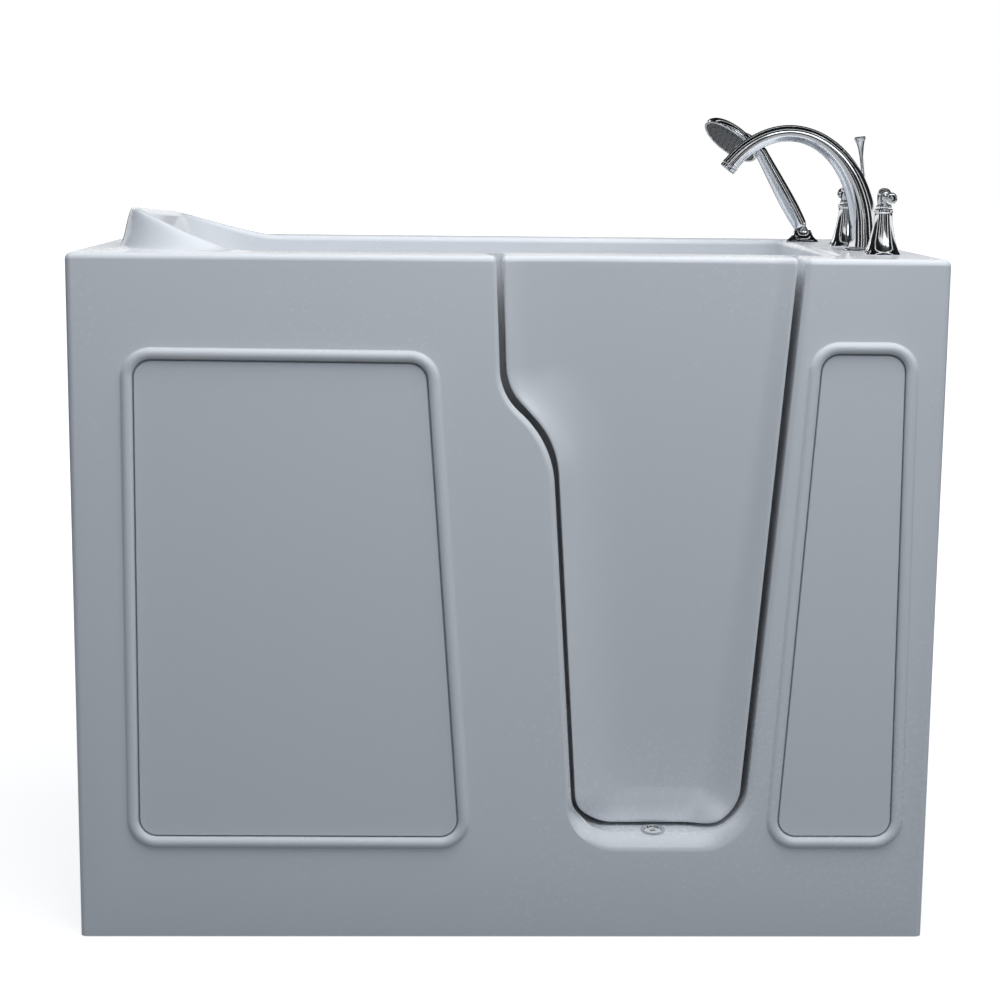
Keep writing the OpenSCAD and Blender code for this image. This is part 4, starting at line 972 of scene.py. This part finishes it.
def build_shower():
    """Hand shower: collar on the deck, a swelling grip along a leaning axis, a dished head and its face."""
    foot = frame_at((*SHOWER, DECK_Z))
    collar = lathe(spline([[8.9, -4], [25.6, 0.1], [25.8, 1.2], [24.2, 3.2], [20.6, 5.6], [17.2, 9.4],
                           [15.2, 14.2], [14.4, 17.2], [13.2, 18.2], [11.6, 18.0], [10.6, 15.4],
                           [10.6, 6]], 50))
    chrome_piece("shower_socket", [placed(collar, foot)], "tub", "shower_collar")
    grip = lathe(np.vstack([
        [[0.05, -14], [8, -14], [8, 3]],
        spline([[9.0, 5], [11.0, 8], [12.0, 18], [12.7, 38], [12.5, 62], [11.7, 86], [10.6, 112],
                [9.9, 132], [9.8, 140]], 50),
        [[0.05, 140.5]]]), 48)
    axis = frame_at((*SHOWER, DECK_Z + 18), -WAND_LEAN)
    chrome_piece("shower_grip", [placed(grip, axis)], "handset", "shower_wand")

    head = frame_at(HEAD_AT, HEAD_TILT, HEAD_HEADING)
    dish = lathe(spline([[0.1, 16.6], [8, 16.4], [18, 15.6], [30, 13.2], [39, 10.6], [44.5, 7.6], [47.6, 3.6],
                         [48.4, -0.4], [47.6, -3.2], [46, -4.4], [44.4, -3.8], [43.9, -2.0]], 60), 80)
    chrome_piece("shower_head_shell", [placed(dish, head), shower_neck(axis, head)], "handset", "shower_head")

    face = lathe(spline([[0.1, -4.6], [20, -4.8], [36, -4.4], [42.5, -3.6], [43.7, -2.4], [43.7, -1.6]], 30),
                 80)
    nib = lathe([[1.3, 0.1], [1.2, -0.5], [0.8, -0.8], [0.02, -0.85]], 8, finish=1)
    patches = [placed(face, head)]
    for r, count in NIB_RINGS:
        for x, y in circle((0, 0), r, count):
            patches.append(placed(nib, head @ Matrix.Translation((x, y, -NIB_DEPTH))))
    piece("shower_spray_face", patches, "handset", ["spray_plastic", "rubber"], ("spray_face",))


# ---- Finishes ----

def add_node(tree, kind, inputs, **settings):
    """New shader node with its settings. Each input takes a value or the output that feeds it."""
    node = tree.nodes.new("ShaderNode" + kind)
    for name, value in settings.items():
        setattr(node, name, value)
    feed(tree, node, inputs)
    return node.outputs


def feed(tree, node, inputs):
    """Gives a node's inputs their values, or links them to the outputs that feed them."""
    for key, value in inputs.items():
        if isinstance(value, bpy.types.NodeSocket):
            tree.links.new(value, node.inputs[key])
        else:
            node.inputs[key].default_value = value


def maths(tree, operation, *values):
    """Output of a Math node over its values, each a number or an output."""
    return add_node(tree, "Math", dict(enumerate(values)), operation=operation)[0]


def surface_group():
    """Slow clouds in colour and roughness and a fine grain in height, all from object coordinates. The colour
    is scaled by 1 + spread (cloud - 1/2), the roughness rises by spread (cloud - 1/2 + grain - 1/2)."""
    name = "surface_variation"
    if name in bpy.data.node_groups:
        return bpy.data.node_groups[name]
    g = bpy.data.node_groups.new(name, "ShaderNodeTree")
    g.interface.new_socket(name="Color", in_out="INPUT", socket_type="NodeSocketColor")
    for label in ("Cloud Scale", "Shade Spread", "Roughness", "Roughness Spread", "Grain Scale", "Stretch"):
        g.interface.new_socket(name=label, in_out="INPUT", socket_type="NodeSocketFloat")
    for label, kind in (("Color", "Color"), ("Roughness", "Float"), ("Height", "Float")):
        g.interface.new_socket(name=label, in_out="OUTPUT", socket_type="NodeSocket" + kind)
    given = g.nodes.new("NodeGroupInput").outputs
    place = add_node(g, "TexCoord", {})["Object"]
    stretch = add_node(g, "CombineXYZ", {"X": given["Stretch"], "Y": 1, "Z": 1})[0]
    scaled = add_node(g, "VectorMath", {0: place, 1: stretch}, operation="MULTIPLY")[0]

    def noise(scale, detail):
        """Noise at the stretched place, with the given scale and octaves."""
        return add_node(g, "TexNoise", {"Vector": scaled, "Scale": scale, "Detail": detail})["Fac"]
    cloud = maths(g, "SUBTRACT", noise(given["Cloud Scale"], 3), 0.5)
    grain = noise(given["Grain Scale"], 2)
    shade = maths(g, "MULTIPLY_ADD", cloud, given["Shade Spread"], 1.0)
    colour = add_node(g, "VectorMath", {0: given["Color"], "Scale": shade}, operation="SCALE")[0]
    mixed = maths(g, "ADD", cloud, maths(g, "SUBTRACT", grain, 0.5))
    rough = maths(g, "MULTIPLY_ADD", mixed, given["Roughness Spread"], given["Roughness"])
    feed(g, g.nodes.new("NodeGroupOutput"), {"Color": colour, "Roughness": rough, "Height": grain})
    return g


# Finish: colour property, metallic, roughness, its spread, cloud scale, shade spread, grain scale, stretch,
# bump strength, coat weight, coat roughness
FINISHES = {
    "acrylic": ("acrylic", 0.0, 0.27, 0.02, 2.5, 0.008, 160, 1, 0.002, 0.35, 0.06),
    "panel_acrylic": ("panel", 0.0, 0.34, 0.02, 3.0, 0.01, 220, 1, 0.003, 0.2, 0.1),
    "steel_paint": ("steel", 0.6, 0.42, 0.12, 14, 0.12, 300, 0.08, 0.06, 0.0, 0.03),
    "stainless": ("stainless", 1.0, 0.3, 0.12, 20, 0.08, 500, 0.04, 0.04, 0.0, 0.03),
    "rubber": ("rubber", 0.0, 0.72, 0.1, 30, 0.12, 700, 1, 0.12, 0.0, 0.03),
    # The spray plastic finish also paints the shade in the threshold drain's holes
    "spray_plastic": ("spray", 0.0, 0.35, 0.08, 40, 0.08, 500, 1, 0.05, 0.1, 0.1),
}


def material(finish):
    """Material of a finish, made once: the shared variation feeds colour, roughness and a bump. Chrome, zinc,
    brass, PVC and foam aren't in the table. They are the CAD's own plain materials of those names."""
    if finish in bpy.data.materials:
        return bpy.data.materials[finish]
    (colour, metal, rough, rough_spread, cloud, spread, grain, stretch, bump, coat,
     coat_rough) = FINISHES[finish]
    m = bpy.data.materials.new(finish)
    m.use_nodes = True
    tree = m.node_tree
    vary = tree.nodes.new("ShaderNodeGroup")
    vary.node_tree = surface_group()
    feed(tree, vary, {"Color": (*getattr(bpy.context.scene.tub_colours, colour), 1), "Cloud Scale": cloud,
                      "Shade Spread": spread, "Roughness": rough, "Roughness Spread": rough_spread,
                      "Grain Scale": grain, "Stretch": stretch})
    bumps = add_node(tree, "Bump", {"Strength": bump, "Distance": MM, "Height": vary.outputs["Height"]})
    feed(tree, tree.nodes["Principled BSDF"],
         {"Metallic": metal, "Coat Weight": coat, "Coat Roughness": coat_rough,
          "Base Color": vary.outputs["Color"], "Roughness": vary.outputs["Roughness"],
          "Normal": bumps["Normal"]})
    return m


# CAD nodes that stay in view and leave the CAD's material for one of the finishes
NODE_FINISHES = {
    "acrylic": ("door_inner_skin",),
    "steel_paint": ("bottom_rails", "cross_rails", "uprights", "seat_bearers", "footwell_bearers"),
    "stainless": ("door_hinge_leaves", "frame_hinge_leaves", "latch_finger", "latch_keeper"),
    "rubber": ("levelling_feet", "door_gasket"),
}


def finish_nodes():
    """Gives each node of the table its finish in every material slot."""
    for finish, names in NODE_FINISHES.items():
        for name in names:
            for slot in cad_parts[name].material_slots:
                slot.material = material(finish)


# ---- Stage ----

# Lights: power property, place, target, size and colour
LIGHTS = {
    "overhead": ((0.3, -0.6, 2.9), (0.15, 0.0, 0.9), (3.0, 2.2), (1.0, 0.99, 0.98)),
    "front": ((1.2, -2.4, 2.7), (0.05, -0.33, 0.6), (2.2, 1.6), (0.89, 0.95, 1.0)),
    "rear": ((-1.8, 3.2, 2.6), (0, 0.33, 0.6), (2.0, 1.6), (0.96, 0.98, 1.0)),
}
# Camera: lens, place and turn, as fitted to the tub's edges in the photograph
LENS = 73.92
CAMERA_AT = (-0.0824, -3.0425, 1.0725)
CAMERA_YAW, CAMERA_PITCH, CAMERA_ROLL = 0.02645, 0.16711, 0.010341
FLOOR_HALF_W = 40.0
FLOOR_GLOW_FROM, FLOOR_GLOW_TO = 0.9, 2.6


def build_lights(studio):
    """Soft rectangular lights, each turned from its place to its target. Only the overhead one leaves no
    mirror image in the chrome."""
    for name, (place, target, size, tint) in LIGHTS.items():
        data = bpy.data.lights.new(f"{name}_light", "AREA")
        data.shape = "RECTANGLE"
        data.size, data.size_y = size
        data.energy = getattr(studio, name)
        data.color = tint
        lamp = put(f"{name}_light", data)
        lamp.location = place
        lamp.rotation_euler = (Vector(target) - Vector(place)).to_track_quat("-Z", "Y").to_euler()
        lamp.visible_glossy = name != "overhead"


def build_camera():
    """Camera at the photograph's place: right, up and ahead from yaw and pitch, then turned by the roll."""
    data = bpy.data.cameras.new("photo_camera")
    data.sensor_width, data.lens = 36, LENS
    data.clip_start, data.clip_end = 0.05, 200
    yaw, pitch, roll = CAMERA_YAW, CAMERA_PITCH, CAMERA_ROLL
    ahead = np.array([np.sin(yaw) * np.cos(pitch), np.cos(yaw) * np.cos(pitch), -np.sin(pitch)])
    level = np.array([np.cos(yaw), -np.sin(yaw), 0])
    above = np.cross(level, ahead)
    right = level * np.cos(roll) + above * np.sin(roll)
    up = -level * np.sin(roll) + above * np.cos(roll)
    camera = put("photo_camera", data)
    camera.matrix_world = (Matrix.Translation(CAMERA_AT)
                           @ Matrix(np.column_stack([right, up, -ahead]).tolist()).to_4x4())
    bpy.context.scene.camera = camera


def build_floor(studio):
    """Wide pale floor: to the camera it is near white and keeps the tub's shadow, in reflections greyer. Its
    glow rises with the distance from the tub, so that the floor meets the backdrop without a line."""
    mesh = bpy.data.meshes.new("studio_floor")
    s = FLOOR_HALF_W
    mesh.from_pydata([(-s, -s, 0), (s, -s, 0), (s, s, 0), (-s, s, 0)], [], [(0, 1, 2, 3)])
    floor = put("studio_floor", mesh)
    m = bpy.data.materials.new("studio_floor")
    m.use_nodes = True
    tree = m.node_tree
    shader = tree.nodes["Principled BSDF"]
    path = add_node(tree, "LightPath", {})
    base = add_node(tree, "Mix", {0: path["Is Camera Ray"], 6: (*[studio.floor_bounce] * 3, 1),
                                  7: (*[studio.floor_shade] * 3, 1)}, data_type="RGBA")
    feed(tree, shader, {"Roughness": 0.9, "Base Color": base[2]})
    seen = maths(tree, "MULTIPLY_ADD", path["Is Glossy Ray"], studio.floor_mirror, path["Is Camera Ray"])
    place = add_node(tree, "TexCoord", {})["Object"]
    away = add_node(tree, "VectorMath", {0: place}, operation="LENGTH")["Value"]
    rise = add_node(tree, "MapRange", {"Value": away, "From Min": FLOOR_GLOW_FROM, "From Max": FLOOR_GLOW_TO,
                                       "To Min": studio.floor_glow, "To Max": 1.0},
                    interpolation_type="SMOOTHSTEP")["Result"]
    glow = add_node(tree, "Emission", {"Strength": maths(tree, "MULTIPLY", seen, rise)})
    both = add_node(tree, "AddShader", {0: shader.outputs[0], 1: glow[0]})
    feed(tree, tree.nodes["Material Output"], {"Surface": both[0]})
    mesh.materials.append(m)


def build_world(studio):
    """White to the camera and in reflections, a weak cool light on everything else."""
    world = bpy.data.worlds.new("studio")
    bpy.context.scene.world = world
    world.use_nodes = True
    tree = world.node_tree
    path = add_node(tree, "LightPath", {})
    seen = path["Is Camera Ray"]
    for name in ("Is Glossy Ray", "Is Transmission Ray"):
        seen = maths(tree, "MAXIMUM", seen, path[name])
    mix = add_node(tree, "Mix", {0: seen, 6: (*studio.ambient, 1), 7: (1, 1, 1, 1)}, data_type="RGBA")
    feed(tree, tree.nodes["Background"], {"Color": mix[2], "Strength": 1})


# Upright cards: name, one end and the other of the card's foot (x, y), and the heights of its foot and top
DARK_CARDS = (
    ("card_back", (-3.4, 3.2), (3.6, 3.2), 0.02, 1.12),
    ("card_left", (-3.4, -0.8), (-3.4, 3.2), 0.02, 1.12),
    ("card_right", (3.6, -0.8), (3.6, 3.2), 0.02, 1.12),
    ("card_back_high", (-3.4, 3.2), (3.6, 3.2), 1.8, 3.6),
    ("card_left_high", (-3.4, -0.8), (-3.4, 3.2), 1.6, 3.6),
    ("card_right_high", (3.6, -0.8), (3.6, 3.2), 1.6, 3.6),
    ("card_left_front", (-3.4, -3.2), (-3.4, -1.2), 0.02, 3.0),
    ("card_right_front", (3.6, -3.2), (3.6, -1.2), 0.02, 3.0),
    ("card_front_left", (-3.2, -3.7), (-1.7, -4.6), 0.02, 3.0),
    ("card_front_middle_left", (-1.35, -4.7), (-0.3, -4.7), 0.95, 3.0),
    ("card_front_middle_right", (0.1, -4.7), (1.35, -4.7), 0.95, 3.0),
    ("card_front_right", (1.5, -4.7), (3.3, -3.7), 0.02, 3.0),
)
# Level cards over the tub: name, x and y of two corners, height
CEILING_CARDS = (
    ("card_over_front", (-2.6, -2.6), (3.0, -1.1), 2.5),
    ("card_over_middle", (-2.6, -0.9), (3.0, 0.5), 2.5),
    ("card_over_back", (-2.6, 0.7), (3.0, 2.7), 2.5),
)


def dark_card(name, corners):
    """Dark card that only reflections see, for contrast in the chrome."""
    mesh = bpy.data.meshes.new(name)
    mesh.from_pydata(corners, [], [(0, 1, 2, 3)])
    card = put(name, mesh)
    m = bpy.data.materials.get("dark_card") or bpy.data.materials.new("dark_card")
    m.use_nodes = True
    feed(m.node_tree, m.node_tree.nodes["Principled BSDF"],
         {"Base Color": (0.015, 0.016, 0.018, 1), "Roughness": 0.9})
    mesh.materials.append(m)
    card.visible_camera = card.visible_diffuse = card.visible_shadow = False
    card.visible_transmission = card.visible_volume_scatter = False


def build_cards():
    """Dark cards all round and over the tub, with gaps between them that leave bright lines in the chrome."""
    for name, (x0, y0), (x1, y1), z0, z1 in DARK_CARDS:
        dark_card(name, [(x0, y0, z0), (x1, y1, z0), (x1, y1, z1), (x0, y0, z1)])
    for name, (x0, y0), (x1, y1), z in CEILING_CARDS:
        dark_card(name, [(x0, y0, z), (x1, y0, z), (x1, y1, z), (x0, y1, z)])


# ---- Settings ----

def length(label, text, default):
    """Property for a length in metres."""
    return bpy.props.FloatProperty(name=label, description=text, default=default, unit="LENGTH", precision=4)


def colour(label, text, default):
    """Property for a colour."""
    return bpy.props.FloatVectorProperty(name=label, description=text, default=default, size=3,
                                         subtype="COLOR", min=0, max=1)


def power(label, text, default):
    """Property for a light's power in watts."""
    return bpy.props.FloatProperty(name=label, description=text, default=default, min=0, unit="POWER")


def share(label, text, default):
    """Property for a level between 0 and 1."""
    return bpy.props.FloatProperty(name=label, description=text, default=default, min=0, max=1)


class TubSizes(bpy.types.PropertyGroup):
    rim_radius: length("Rim radius", "Rounding of the rim and of the basin's top edge", 0.009)
    headrest_rise: length("Headrest rise", "Height of the headrest above the deck", 0.052)
    door_edge_radius: length("Door edge radius", "Rounding of the door's front edge", 0.005)
    jamb_edge_radius: length("Jamb edge radius", "Rounding of the apron's edge round the door", 0.005)
    basin_fillet: length("Basin fillet", "Fillet between the basin's floor and its long walls", 0.025)
    headrest_fillet: length("Headrest fillet", "Corner radius at the top of the backrest", 0.09)
    shell_thickness: length("Shell thickness", "Thickness of the moulding", 0.007)
    panel_edge_radius: length("Panel edge radius", "Rounding of the access panels' front edge", 0.0012)


class TubColours(bpy.types.PropertyGroup):
    acrylic: colour("Acrylic", "Tub and door", (0.80, 0.815, 0.84))
    panel: colour("Panels", "Access panels", (0.78, 0.795, 0.82))
    steel: colour("Frame", "Painted steel frame", (0.42, 0.43, 0.45))
    stainless: colour("Stainless steel", "Hinges and latch", (0.62, 0.62, 0.61))
    rubber: colour("Rubber", "Gasket, feet and spray nibs", (0.025, 0.025, 0.027))
    # Also the colour of the painted shade in the threshold drain's holes
    spray: colour("Spray face", "Face of the hand shower", (0.055, 0.06, 0.065))


class TubStudio(bpy.types.PropertyGroup):
    overhead: power("Overhead", "Power of the overhead soft light", 58)
    front: power("Front", "Power of the front soft light", 22)
    rear: power("Rear", "Power of the rear soft light", 26)
    floor_glow: share("Floor glow", "Light the floor adds for the camera", 0.74)
    floor_shade: share("Floor shade", "Floor colour that the camera sees", 0.5)
    floor_bounce: share("Floor bounce", "Floor colour that lights the tub", 0.2)
    floor_mirror: share("Floor in reflections", "Share of the floor's glow that reflections see", 0.4)
    ambient: colour("Ambient", "Colour and level of the light from all round", (0.14, 0.178, 0.228))


# ---- Operators ----

class TubOperator:
    bl_options = {"REGISTER", "UNDO"}


class TUB_OT_body(TubOperator, bpy.types.Operator):
    """Tub and front apron as one moulding"""
    bl_idname = "tub.body"
    bl_label = "Tub body"

    def execute(self, context):
        build_body(context.scene.tub_sizes)
        return {"FINISHED"}


class TUB_OT_door(TubOperator, bpy.types.Operator):
    """Outer skin of the door"""
    bl_idname = "tub.door"
    bl_label = "Door"

    def execute(self, context):
        build_door(context.scene.tub_sizes)
        return {"FINISHED"}


class TUB_OT_panels(TubOperator, bpy.types.Operator):
    """Two access panels"""
    bl_idname = "tub.panels"
    bl_label = "Access panels"

    def execute(self, context):
        build_panels(context.scene.tub_sizes)
        return {"FINISHED"}


class TUB_OT_threshold(TubOperator, bpy.types.Operator):
    """Drain on the ledge in front of the door"""
    bl_idname = "tub.threshold"
    bl_label = "Threshold drain"

    def execute(self, context):
        build_threshold()
        return {"FINISHED"}


class TUB_OT_spout(TubOperator, bpy.types.Operator):
    """Spout with its base ring, nozzle and diverter pull"""
    bl_idname = "tub.spout"
    bl_label = "Spout"

    def execute(self, context):
        build_spout()
        return {"FINISHED"}


class TUB_OT_handles(TubOperator, bpy.types.Operator):
    """Cold and hot tap handles"""
    bl_idname = "tub.handles"
    bl_label = "Tap handles"

    def execute(self, context):
        build_handles()
        return {"FINISHED"}


class TUB_OT_shower(TubOperator, bpy.types.Operator):
    """Hand shower with its socket on the deck"""
    bl_idname = "tub.shower"
    bl_label = "Hand shower"

    def execute(self, context):
        build_shower()
        return {"FINISHED"}


class TUB_OT_finishes(TubOperator, bpy.types.Operator):
    """Finishes of the frame, hinges, latch, gasket and feet"""
    bl_idname = "tub.finishes"
    bl_label = "Finishes"

    def execute(self, context):
        finish_nodes()
        return {"FINISHED"}


class TUB_OT_stage(TubOperator, bpy.types.Operator):
    """Camera, floor, backdrop and lights"""
    bl_idname = "tub.stage"
    bl_label = "Stage"

    def execute(self, context):
        context.scene.view_settings.view_transform = "Standard"
        build_camera()
        build_floor(context.scene.tub_studio)
        build_world(context.scene.tub_studio)
        build_lights(context.scene.tub_studio)
        build_cards()
        return {"FINISHED"}


PIECES = (TUB_OT_stage, TUB_OT_body, TUB_OT_door, TUB_OT_panels, TUB_OT_threshold, TUB_OT_spout,
          TUB_OT_handles, TUB_OT_shower, TUB_OT_finishes)
GROUPS = {"tub_sizes": TubSizes, "tub_colours": TubColours, "tub_studio": TubStudio}


class TUB_PT_pieces(bpy.types.Panel):
    """Pieces of the bathtub and their sizes"""
    bl_idname = "TUB_PT_pieces"
    bl_label = "Walk-in bathtub"
    bl_space_type = "VIEW_3D"
    bl_region_type = "UI"
    bl_category = "Bathtub"

    def draw(self, context):
        for operator in PIECES:
            self.layout.operator(operator.bl_idname)
        for name, group in GROUPS.items():
            box = self.layout.box()
            for key in group.__annotations__:
                box.prop(getattr(context.scene, name), key)


def register():
    """Registers the settings, the operators and the panel."""
    for group in GROUPS.values():
        bpy.utils.register_class(group)
    for name, group in GROUPS.items():
        setattr(bpy.types.Scene, name, bpy.props.PointerProperty(type=group))
    for operator in PIECES:
        bpy.utils.register_class(operator)
    bpy.utils.register_class(TUB_PT_pieces)


def unregister():
    """Takes back what register did, in the opposite order."""
    bpy.utils.unregister_class(TUB_PT_pieces)
    for operator in reversed(PIECES):
        bpy.utils.unregister_class(operator)
    for name, group in GROUPS.items():
        delattr(bpy.types.Scene, name)
        bpy.utils.unregister_class(group)


def main():
    """Runs every operator."""
    register()
    for operator in PIECES:
        family, name = operator.bl_idname.split(".")
        getattr(getattr(bpy.ops, family), name)()


if __name__ == "__main__":
    main()
